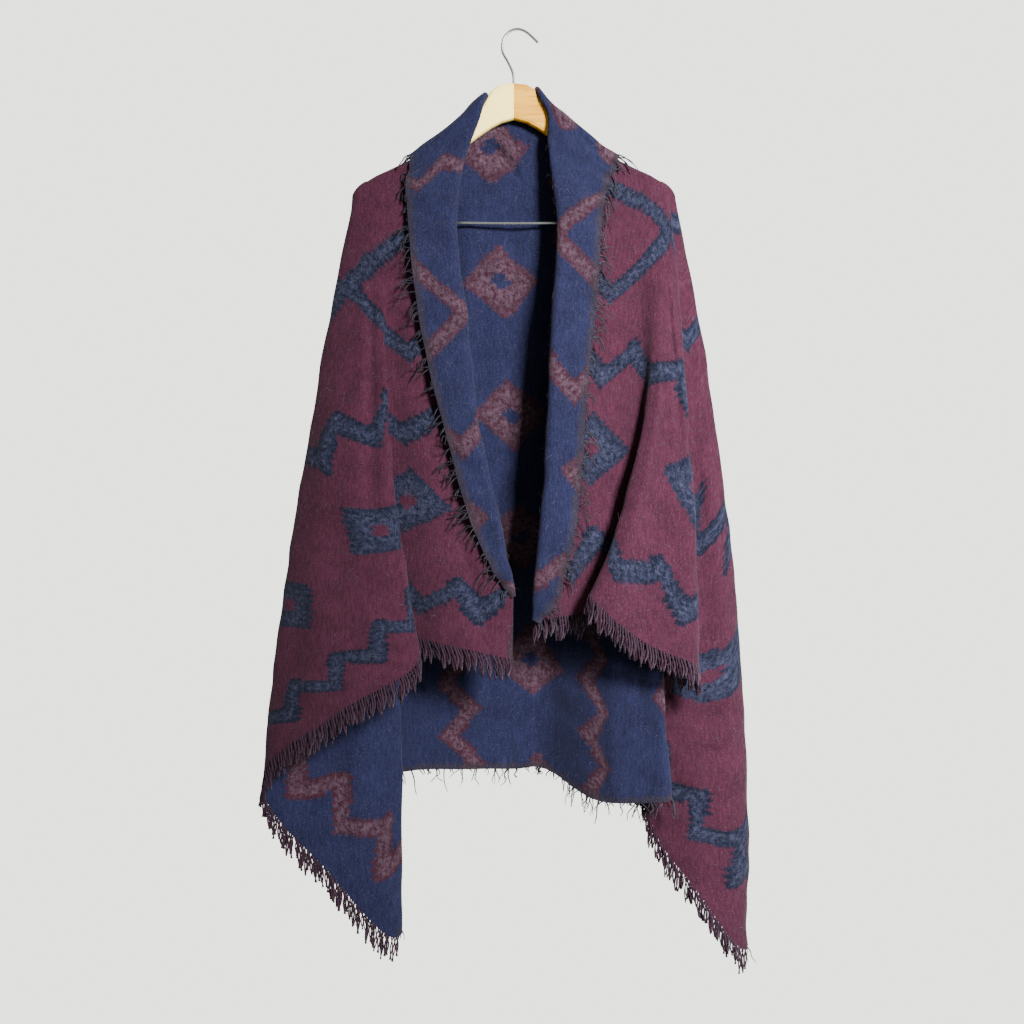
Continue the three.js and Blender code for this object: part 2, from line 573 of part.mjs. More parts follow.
const wrap = new THREE.Group();
wrap.add(piece('hanger_wood', woodenArms(), COLOURS.wood, 0.55));
wrap.add(piece('hanger_hook', hook(), COLOURS.steel, 0.3, 1));
wrap.add(piece('trouser_bar', trouserBar(), COLOURS.steel, 0.3, 1));

for (const row of STRETCHES) {
  const body = wall(clothPoint, row.stations, [TOP_CLEAR, ...FRONT_ROWS.slice(1)]);
  wrap.add(piece(row.name, geometryOf(body), row.colour));
}
for (const row of FRINGES) {
  const { stations } = STRETCHES.find((stretch) => stretch.name === row.below);
  const body = fringe(clothPoint, stations.slice(row.between[0], row.between[1] + 1), row.strands, row.length, 0);
  wrap.add(piece(row.name, geometryOf(body), COLOURS.fringe));
}
for (const side of ['left', 'right']) {
  const body = wall((out, round) => saddlePoint(side, out, round), SADDLE_OUTS, steps(0, 1, 8));
  wrap.add(piece(`shoulder_${side}`, geometryOf(body), COLOURS.outside));
}
for (const row of FLAPS) {
  const body = wall(flapPoint, row.rows, FLAP_STEPS);
  wrap.add(piece(row.name, geometryOf(body), COLOURS.inside));
  const stations = row.rows.slice(row.fringe[0], row.fringe[1] + 1);
  const fringed = fringe(flapPoint, stations, row.strands, FLAP_FRINGE_LENGTH, row.lean);
  wrap.add(piece(`fringe_${row.name}`, geometryOf(fringed), COLOURS.fringe));
}

export default wrap;
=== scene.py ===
import bpy
import numpy as np
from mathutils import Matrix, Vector


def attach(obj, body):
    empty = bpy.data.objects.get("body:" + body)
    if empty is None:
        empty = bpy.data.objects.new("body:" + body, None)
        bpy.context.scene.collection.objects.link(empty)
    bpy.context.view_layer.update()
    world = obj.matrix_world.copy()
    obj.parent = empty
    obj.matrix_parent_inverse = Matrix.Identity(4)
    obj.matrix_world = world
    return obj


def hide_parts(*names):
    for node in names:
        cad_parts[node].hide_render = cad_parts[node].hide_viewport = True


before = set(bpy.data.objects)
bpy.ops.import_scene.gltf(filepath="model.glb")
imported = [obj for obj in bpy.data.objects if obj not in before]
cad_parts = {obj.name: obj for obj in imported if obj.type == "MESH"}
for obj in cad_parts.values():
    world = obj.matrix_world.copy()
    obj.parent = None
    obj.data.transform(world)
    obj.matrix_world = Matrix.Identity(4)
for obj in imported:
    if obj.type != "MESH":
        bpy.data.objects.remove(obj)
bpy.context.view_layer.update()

# The hanger's wood
# Two arms of pale pine meet in a glued joint at the middle. They are planed, rounded along their edges
# and left nearly raw. The left arm is painted paler, as painted light where the lamp falls on it more.
HANGER_MIDDLE = -0.0056
WOOD_PALE = (0.60, 0.30, 0.020, 1)
WOOD_GRAIN = (0.44, 0.18, 0.008, 1)
# Painted light on the left arm: a paler, yellower wood mixed in, and how much of it
LEFT_ARM_PAINTED_LIGHT = (1.0, 0.82, 0.26, 1)
LEFT_ARM_LIGHT_SHARE = 0.85
GRAIN_STRETCH = (9, 60, 110)
GRAIN_SLANT = (0, 0.5, 0)
WOOD_FINISH = {"Roughness": 0.55, "Specular IOR Level": 0.15}


def material(name):
    """A new material, its node tree and its Principled shader."""
    made = bpy.data.materials.new(name)
    made.use_nodes = True
    return made, made.node_tree, made.node_tree.nodes["Principled BSDF"]


def fill(tree, node, values):
    """Sets a node's named inputs. Each value is a number, a colour or vector, or another node's socket."""
    for label, value in values.items():
        if isinstance(value, bpy.types.NodeSocket):
            tree.links.new(value, node.inputs[label])
        else:
            node.inputs[label].default_value = value
    return node


def new_node(tree, kind, values):
    """A new shader node of a kind, with its inputs set."""
    return fill(tree, tree.nodes.new("ShaderNode" + kind), values)


def calculate(tree, operation, *values):
    """One Math node. Each value is a number or a socket, and the result is its output."""
    node = tree.nodes.new("ShaderNodeMath")
    node.operation = operation
    for slot, value in zip(node.inputs, values):
        if isinstance(value, (int, float)):
            slot.default_value = value
        else:
            tree.links.new(value, slot)
    return node.outputs["Value"]


def mixed(tree, factor, one, other, blend="MIX"):
    """Two colours mixed by a factor: one where it is 0, other where it is 1."""
    node = tree.nodes.new("ShaderNodeMix")
    node.data_type = "RGBA"
    node.blend_type = blend
    return fill(tree, node, {"Factor": factor, "A": one, "B": other}).outputs["Result"]


def relief(tree, height, strength, distance):
    """The normal of a surface that a height of 0 to 1 raises by a distance."""
    values = {"Height": height, "Strength": strength, "Distance": distance}
    return new_node(tree, "Bump", values).outputs["Normal"]


def pine_wood():
    """Long grain is noise stretched along X, in two browns, and a painted highlight pales the left arm."""
    wood, tree, shader = material("pine")
    place = new_node(tree, "TexCoord", {}).outputs["Object"]
    stretch = new_node(tree, "Mapping", {"Vector": place, "Scale": GRAIN_STRETCH, "Rotation": GRAIN_SLANT})
    wavy = {"Vector": stretch.outputs["Vector"], "Scale": 1.6, "Detail": 6, "Distortion": 0.6}
    grain = new_node(tree, "TexNoise", wavy).outputs["Fac"]
    bands = new_node(tree, "ValToRGB", {"Fac": grain})
    for stop, at, colour in zip(bands.color_ramp.elements, (0.40, 0.60), (WOOD_GRAIN, WOOD_PALE)):
        stop.position = at
        stop.color = colour
    across = new_node(tree, "SeparateXYZ", {"Vector": place}).outputs["X"]
    # Painted light: the left arm is made paler where the lamp lights it more
    paler = calculate(tree, "MULTIPLY", calculate(tree, "LESS_THAN", across, HANGER_MIDDLE), LEFT_ARM_LIGHT_SHARE)
    colour = mixed(tree, paler, bands.outputs["Color"], LEFT_ARM_PAINTED_LIGHT)
    fill(tree, shader, {"Base Color": colour, "Normal": relief(tree, grain, 0.25, 0.0004), **WOOD_FINISH})
    return wood


hanger_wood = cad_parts["hanger_wood"]
hanger_wood.data.materials.clear()
hanger_wood.data.materials.append(pine_wood())

# The hook and the trouser bar
# Round bright steel wire, 4 mm thick: the hook is screwed into the joint of the arms, and the bar is bent
# up at both ends into the underside of the arms. Both are drawn wire, a little uneven in their shine.
STEEL_COLOUR = (0.42, 0.43, 0.44, 1)
STEEL_ROUGHNESS = (0.16, 0.34)


def remap(tree, value, inside, outside):
    """A value carried from one range to another and held within it."""
    ends = {"From Min": inside[0], "From Max": inside[1], "To Min": outside[0], "To Max": outside[1]}
    return new_node(tree, "MapRange", {"Value": value, **ends}).outputs["Result"]


def bright_steel():
    """Plated wire: its roughness varies a little with fine noise."""
    steel, tree, shader = material("steel")
    place = new_node(tree, "TexCoord", {}).outputs["Object"]
    marks = new_node(tree, "TexNoise", {"Vector": place, "Scale": 420, "Detail": 3}).outputs["Fac"]
    rough = remap(tree, marks, (0, 1), STEEL_ROUGHNESS)
    fill(tree, shader, {"Base Color": STEEL_COLOUR, "Metallic": 1, "Roughness": rough})
    return steel


steel = bright_steel()
for name in ("hanger_hook", "trouser_bar"):
    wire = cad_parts[name]
    wire.data.materials.clear()
    wire.data.materials.append(steel)

# The wool of the cloth
# A double-faced blanket, woven with stepped diamonds and zigzags and then felted, so that the figures'
# edges blur. Where the outside is maroon with navy figures the inside is navy with maroon ones. The long
# edges have a grey selvedge. Each motif stands at both sides of the back's middle, and is counted from it.
SHEET_LENGTH = 1.055
MOTIF_STEP = 0.0066
MOTIF_PITCH = 0.185
FIRST_MOTIF = -0.023
DIAMOND_HALF = 0.052
DIAMOND_HOLE = 0.24
DIAMOND_HEART = 1.15
LATTICE_HALF = 0.090
LATTICE_BAND = 0.20
ZIGZAG_PERIOD = 0.076
BAND_HEART = 0.9
HEART_SWELLS = 1.9
SELVEDGE = 0.0085
SELVEDGE_FRAYS = 1.6
MOTIFS = [
    {"kind": "diamond", "from_middle": 0.0},
    {"kind": "zigzag", "from_middle": 0.105, "first_peak": -0.020, "reach": 0.034, "band": 0.0150},
    {"kind": "lattice", "from_middle": 0.33},
    {"kind": "zigzag", "from_middle": 0.53, "first_peak": -0.020, "reach": 0.042, "band": 0.0185},
    {"kind": "diamond", "from_middle": 0.655},
    {"kind": "zigzag", "from_middle": 0.795, "first_peak": 0.008, "reach": 0.042, "band": 0.0185},
]
SHAKES = [
    {"scale": 420, "detail": 2, "rough": 0.5, "reach": 0.007},
    {"scale": 1500, "detail": 3, "rough": 0.7, "reach": 0.013},
    {"scale": 70, "detail": 2, "rough": 0.5, "reach": 0.008},
]


def shader_group(name, takes, gives):
    """An empty node group with its named inputs and outputs, and its two end nodes."""
    tree = bpy.data.node_groups.new(name, "ShaderNodeTree")
    for label in takes:
        tree.interface.new_socket(label, in_out="INPUT", socket_type="NodeSocketVector")
    for label in gives:
        tree.interface.new_socket(label, in_out="OUTPUT", socket_type="NodeSocketFloat")
    return tree, tree.nodes.new("NodeGroupInput").outputs, tree.nodes.new("NodeGroupOutput")


def noise(tree, place, scale, detail=2, rough=0.5):
    """A noise texture's value, from 0 to 1."""
    values = {"Vector": place, "Scale": scale, "Detail": detail, "Roughness": rough}
    return new_node(tree, "TexNoise", values).outputs["Fac"]


def woven_figures():
    """Motif is 1 inside a figure, Heart rises from a figure's edge to 1 further in, and Selvedge is 1 in
    the band along both long edges. The cloth's place is shaken a little by noise, then counted in whole
    steps. A diamond is where the two distances from its centre, over its half size, sum to under 1 but
    over its hole, a lattice is a band about such a diamond, and a zigzag one about a triangle wave."""
    tree, start, end = shader_group("woven_figures", ["Place"], ["Motif", "Heart", "Selvedge"])
    place = start["Place"]
    split = new_node(tree, "SeparateXYZ", {"Vector": place}).outputs
    shake = 0.0
    for row in SHAKES:
        wavy = noise(tree, place, row["scale"], row["detail"], row["rough"])
        centred = calculate(tree, "SUBTRACT", wavy, 0.5)
        shake = calculate(tree, "MULTIPLY_ADD", centred, row["reach"], shake)

    def stepped(value):
        count = calculate(tree, "FLOOR", calculate(tree, "DIVIDE", value, MOTIF_STEP))
        return calculate(tree, "MULTIPLY", calculate(tree, "ADD", count, 0.5), MOTIF_STEP)

    across = stepped(calculate(tree, "ADD", calculate(tree, "ABSOLUTE", split["X"]), shake))
    along = stepped(calculate(tree, "SUBTRACT", split["Y"], shake))
    from_first = calculate(tree, "SUBTRACT", along, FIRST_MOTIF)
    from_motif = calculate(tree, "PINGPONG", from_first, MOTIF_PITCH / 2)

    def inside(value, limit):
        return calculate(tree, "LESS_THAN", value, limit)

    def spread(row, half):
        away = calculate(tree, "ABSOLUTE", calculate(tree, "SUBTRACT", across, row["from_middle"]))
        share = calculate(tree, "DIVIDE", from_motif, half)
        return calculate(tree, "ADD", calculate(tree, "DIVIDE", away, half), share)

    def diamond(row):
        size = spread(row, DIAMOND_HALF)
        beyond_hole = calculate(tree, "GREATER_THAN", size, DIAMOND_HOLE)
        ring = calculate(tree, "MULTIPLY", inside(size, 1), beyond_hole)
        return ring, calculate(tree, "SUBTRACT", DIAMOND_HEART, size)

    def band(off, half):
        depth = calculate(tree, "SUBTRACT", BAND_HEART, calculate(tree, "DIVIDE", off, half))
        return inside(off, half), depth

    def lattice(row):
        off = calculate(tree, "ABSOLUTE", calculate(tree, "SUBTRACT", spread(row, LATTICE_HALF), 1))
        return band(off, LATTICE_BAND)

    def zigzag(row):
        half = ZIGZAG_PERIOD / 2
        wave = calculate(tree, "PINGPONG", calculate(tree, "SUBTRACT", along, row["first_peak"]), half)
        middle = row["from_middle"] - row["reach"] / 2
        line = calculate(tree, "MULTIPLY_ADD", wave, row["reach"] / half, middle)
        return band(calculate(tree, "ABSOLUTE", calculate(tree, "SUBTRACT", across, line)), row["band"])

    shapes = {"diamond": diamond, "lattice": lattice, "zigzag": zigzag}
    motif = 0.0
    heart = 0.0
    for row in MOTIFS:
        mask, middle = shapes[row["kind"]](row)
        motif = calculate(tree, "MAXIMUM", motif, mask)
        heart = calculate(tree, "MAXIMUM", heart, calculate(tree, "MULTIPLY", mask, middle))
    heart = calculate(tree, "MINIMUM", calculate(tree, "MULTIPLY", heart, HEART_SWELLS), 1)
    from_edge = calculate(tree, "MINIMUM", split["Y"], calculate(tree, "SUBTRACT", SHEET_LENGTH, split["Y"]))
    frayed = calculate(tree, "ADD", from_edge, calculate(tree, "MULTIPLY", shake, SELVEDGE_FRAYS))
    fill(tree, end, {"Motif": motif, "Heart": heart, "Selvedge": inside(frayed, SELVEDGE)})
    return tree


def felted_yarn():
    """Streak is the brushed pile, which lies downwards as the cloth hangs, Mottle the uneven felt, Patch
    the paler flecks in the figures, Lint the pale specks and Height the relief of pile and felt. Each is
    noise over the sheet, but the streaks are noise in space, stretched along Z."""
    gives = ["Streak", "Mottle", "Patch", "Lint", "Height"]
    tree, start, end = shader_group("felted_yarn", ["Place", "Hang"], gives)
    place = start["Place"]
    pile = new_node(tree, "Mapping", {"Vector": start["Hang"], "Scale": (340, 340, 75)}).outputs["Vector"]
    streak = noise(tree, pile, 1, 4, 0.65)
    fine = noise(tree, place, 330, 4, 0.7)
    wide = noise(tree, place, 26, 3, 0.6)
    slanted = {"Vector": place, "Scale": (330, 620, 1), "Rotation": (0, 0, 0.5)}
    speck = noise(tree, new_node(tree, "Mapping", slanted).outputs["Vector"], 1, 2, 0.6)
    fill(tree, end, {
        "Streak": streak,
        "Mottle": calculate(tree, "MULTIPLY_ADD", wide, 0.7, calculate(tree, "MULTIPLY", fine, 0.5)),
        "Patch": noise(tree, place, 150, 5, 0.8),
        "Lint": remap(tree, speck, (0.56, 0.78), (0, 1)),
        "Height": calculate(tree, "MULTIPLY_ADD", fine, 0.8, calculate(tree, "MULTIPLY", streak, 0.7)),
    })
    return tree


figures = woven_figures()
felt = felted_yarn()
MAROON = (0.0330, 0.0080, 0.0168, 1)
NAVY_FIGURE = (0.0040, 0.0052, 0.0125, 1)
NAVY_FLECKED = (0.0250, 0.0265, 0.0490, 1)
NAVY = (0.0088, 0.0098, 0.0290, 1)
MAROON_FIGURE = (0.0230, 0.0066, 0.0120, 1)
PINKISH_GREY = (0.0480, 0.0280, 0.0400, 1)
SELVEDGE_GREY = (0.0165, 0.0130, 0.0170, 1)
SELVEDGE_SHARE = 0.70
LINT = (0.085, 0.080, 0.105, 1)
LINT_SHARE = 0.30
FLECKS = {"inside": (0.42, 0.64), "outside": (0.0, 1.9)}
STREAK_SHADES = {"inside": (0.30, 0.75), "outside": (0.68, 1.34)}
MOTTLE_SHADES = {"inside": (0.35, 0.85), "outside": (0.74, 1.30)}
WOOL_FINISH = {
    "Roughness": 0.95, "Specular IOR Level": 0.06, "Sheen Weight": 0.045, "Sheen Roughness": 0.5,
    "Sheen Tint": (0.72, 0.70, 0.85, 1),
}


def grouped(tree, group, values):
    """The outputs of a node group placed in a material."""
    node = tree.nodes.new("ShaderNodeGroup")
    node.node_tree = group
    return fill(tree, node, values).outputs


def wool(name, ground, figure, heart_colour, heart_share):
    """Ground and figure colours are mixed by the woven figures, flecked in a figure's heart, greyed at the
    selvedge, shaded by the streaks and the mottled felt, and dusted with lint."""
    made, tree, shader = material(name)
    sheet = new_node(tree, "UVMap", {})
    sheet.uv_map = "cloth"
    place = sheet.outputs["UV"]
    weave = grouped(tree, figures, {"Place": place})
    hang = new_node(tree, "TexCoord", {}).outputs["Object"]
    yarn = grouped(tree, felt, {"Place": place, "Hang": hang})
    heart = calculate(tree, "MULTIPLY", weave["Heart"], heart_share)
    flecked = calculate(tree, "MULTIPLY", heart, remap(tree, yarn["Patch"], **FLECKS))
    colour = mixed(tree, weave["Motif"], ground, mixed(tree, flecked, figure, heart_colour))
    greyed = calculate(tree, "MULTIPLY", weave["Selvedge"], SELVEDGE_SHARE)
    colour = mixed(tree, greyed, colour, SELVEDGE_GREY)
    worn = remap(tree, yarn["Mottle"], **MOTTLE_SHADES)
    light = calculate(tree, "MULTIPLY", remap(tree, yarn["Streak"], **STREAK_SHADES), worn)
    grey = new_node(tree, "CombineColor", {"Red": light, "Green": light, "Blue": light})
    colour = mixed(tree, 1.0, colour, grey.outputs["Color"], "MULTIPLY")
    colour = mixed(tree, calculate(tree, "MULTIPLY", yarn["Lint"], LINT_SHARE), colour, LINT)
    raised = relief(tree, yarn["Height"], 0.9, 0.0014)
    fill(tree, shader, {"Base Color": colour, "Normal": raised, **WOOL_FINISH})
    return made


wool_outside = wool("wool_outside", MAROON, NAVY_FIGURE, NAVY_FLECKED, 0.55)
wool_inside = wool("wool_inside", NAVY, MAROON_FIGURE, PINKISH_GREY, 0.80)

# The hanging cloth
# One woven rectangle hangs from the shoulders and the back of the neck. Its two short edges are the lower
# edges of the fronts, and its far long edge is the hem of the back. The pleats fall by themselves from
# the ends of the arms. It is shown in three stretches that meet without a gap.
WALL = 0.002
# In millimetres, as seen on the hanger's plane: the eye, the hanger's middle, how far the cloth stands off
# its plane and falls from an arm's crest, the arm's tip, and the arm's top, from the middle outwards
HALF_WALL = 1
VIEW_DISTANCE = 2000
EYE_ACROSS = -8
EYE_DOWN = 669
MIDDLE = -5.6
HANGER_DEPTH = 13
LEG_DEPTH = 11
LEG_DROP = 14
TIP = 207
TIP_ROUND = 17
TIP_FALLS_FROM = 205
TIP_FALL = 0.5
SEAT = 0.8
ARM_OUT = [0, 18, 31, 37, 43, 50, 62, 84, 107, 139, 170, 190, 203]
ARM_TOP = [74, 76, 84, 95, 106, 112, 120, 141, 159, 181, 196, 205, 213]


def placed(across, down, depth):
    """The place in metres of a point given as seen: what lies beyond the hanger's own depth is drawn in
    towards, or out from, the eye's line by its distance over the eye's distance."""
    scale = 1 + np.sign(depth) * np.maximum(np.abs(depth) - HANGER_DEPTH, 0) / VIEW_DISTANCE
    x = EYE_ACROSS + (across - EYE_ACROSS) * scale
    z = -(EYE_DOWN + (down - EYE_DOWN) * scale)
    return np.stack(np.broadcast_arrays(x, depth, z), axis=-1) / 1000


def crest(across):
    """Down to the cloth over an arm: the arm's own top, less the seat between the two and half the wall,
    and falling away past the arm's end."""
    out = np.abs(across - MIDDLE)
    past = TIP_FALL * np.maximum(out - TIP_FALLS_FROM, 0)
    return np.interp(np.minimum(out, TIP), ARM_OUT, ARM_TOP) - HALF_WALL - SEAT + past


def leg_depth(across):
    """Half the cloth's depth over an arm, closing as an ellipse past the arm's end."""
    past = np.maximum((np.abs(across - MIDDLE) - TIP) / TIP_ROUND, 0)
    return LEG_DEPTH * np.sqrt(np.maximum(1 - past * past, 0))


LEFT_NECK = MIDDLE - 52
RIGHT_NECK = MIDDLE + 52
NECK_FOOT = float(crest(LEFT_NECK)) + LEG_DROP
ARCH_SQUARENESS = 0.7
CORNER_DEPTH = LEG_DEPTH * 0.5 ** (ARCH_SQUARENESS / 2)
# The turned-out edge, row by row: share of the front's height, seam, rim, depth, the way it faces, lift,
# and from_middle, the sheet's place along its width there, in centimetres
NECK_COLUMNS = ["at", "seam_x", "seam_down", "rim_x", "rim_down", "depth", "over", "lift", "from_middle"]
NECK = np.array([
    [1.0, -6, 786, -10, 788, -87, 0, 4, -80],
    [0.87, -17, 745, -36, 745, -85, 0, 12, -73],
    [0.76, -33, 680, -66, 680, -80, 0, 15, -66],
    [0.58, -62, 555, -101, 555, -66, 0, 18, -52],
    [0.39, -78, 416, -134, 416, -48, 0, 19, -35.5],
    [0.21, -94, 277, -151, 277, -28, 0, 17, -20.5],
    [0.09, -80, 188, -154, 215, -15, 0, 13, -10.5],
    [0.0, LEFT_NECK, NECK_FOOT, -150, 196, -LEG_DEPTH, 0, 9, -5.5],
    [0, -51, 109, -150, 185, -CORNER_DEPTH, 45, 12, -4.5],
    [0, -47, 102, -150, 180, 0, 90, 14, -3.6],
    [0, -51, 109, -148, 187, CORNER_DEPTH, 135, 12, -2.6],
    [0, LEFT_NECK, NECK_FOOT, -140, 200, LEG_DEPTH, 180, 9, -1.6],
    [0, -32, 99, -76, 207, 13, 180, 11, 0.9],
    [0, -6, 93, -6, 202, 13, 180, 12, 3.6],
    [0, 21, 99, 64, 207, 13, 180, 11, 6.3],
    [0, RIGHT_NECK, NECK_FOOT, 128, 200, LEG_DEPTH, 180, 9, 8.8],
    [0, 34, 101, 136, 187, CORNER_DEPTH, 135, 9, 9.6],
    [0, 28, 88, 139, 180, 0, 90, 7, 10.5],
    [0, 34, 101, 138, 185, -CORNER_DEPTH, 45, 9, 11.5],
    [0.0, RIGHT_NECK, NECK_FOOT, 136, 196, -LEG_DEPTH, 0, 9, 13],
    [0.08, 48, 173, 126, 210, -15, 0, 13, 21],
    [0.2, 62, 262, 117, 262, -28, 0, 17, 30.5],
    [0.38, 57, 390, 108, 390, -48, 0, 19, 43.5],
    [0.57, 50, 525, 94, 525, -62, 0, 18, 57],
    [0.78, 40, 675, 82, 680, -76, 0, 17, 71.5],
    [0.93, 29, 775, 58, 782, -84, 0, 14, 81.5],
    [1.0, 23, 819, 30, 823, -86, 0, 7, 87],
])
# The rows where the seam lies before and behind each arm, the free lower corner of the left front, which is
# across, down, depth and its two places on the sheet, and the height where the roll above it ends
LEFT_FRONT, LEFT_BACK, RIGHT_BACK, RIGHT_FRONT = 7, 11, 15, 19
LEFT_CORNER = (-7, 874, -92, -87, 0)
LEFT_ROLL_ENDS = 0.88


def through(values, at):
    """Catmull-Rom: a smooth value between rows that passes through all of them."""
    k = np.clip(np.floor(at).astype(int), 0, len(values) - 2)
    f = at - k
    padded = np.concatenate([[2 * values[0] - values[1]], values, [2 * values[-1] - values[-2]]])
    a, b, c, d = (padded[k + n] for n in range(4))
    return b + 0.5 * f * (c - a + f * (2 * a - 5 * b + 4 * c - d + f * (3 * (b - c) + d - a)))


def neck_row(at):
    """Every column of NECK, read smoothly at a place counted in rows."""
    return {name: through(NECK[:, n], at) for n, name in enumerate(NECK_COLUMNS)}


def turned_width(row):
    """The sheet's length from its rim to the seam, in centimetres: half a turn round the roll, then flat."""
    flat = np.hypot(row["rim_x"] - row["seam_x"], row["rim_down"] - row["seam_down"])
    return (flat + row["lift"] * np.pi / 2) / 10


def front_inner(side, v):
    """A front's inner line: across, down, depth and both sheet places, along the seam under the roll,
    and on the left down the free edge below it."""
    rows = np.arange(LEFT_FRONT, -1, -1) if side == "left" else np.arange(RIGHT_FRONT, len(NECK))
    reach = LEFT_ROLL_ENDS if side == "left" else 1
    row = neck_row(np.interp(np.clip(v / reach, 0, 1), NECK[rows, 0], rows))
    sheet = turned_width(row)
    place = np.stack([row["seam_x"], row["seam_down"], row["depth"], row["from_middle"], sheet], axis=-1)
    if side == "right":
        return place
    below = np.clip((v - LEFT_ROLL_ENDS) / (1 - LEFT_ROLL_ENDS), 0, 1)[:, None]
    return place + (np.array(LEFT_CORNER) - place) * below


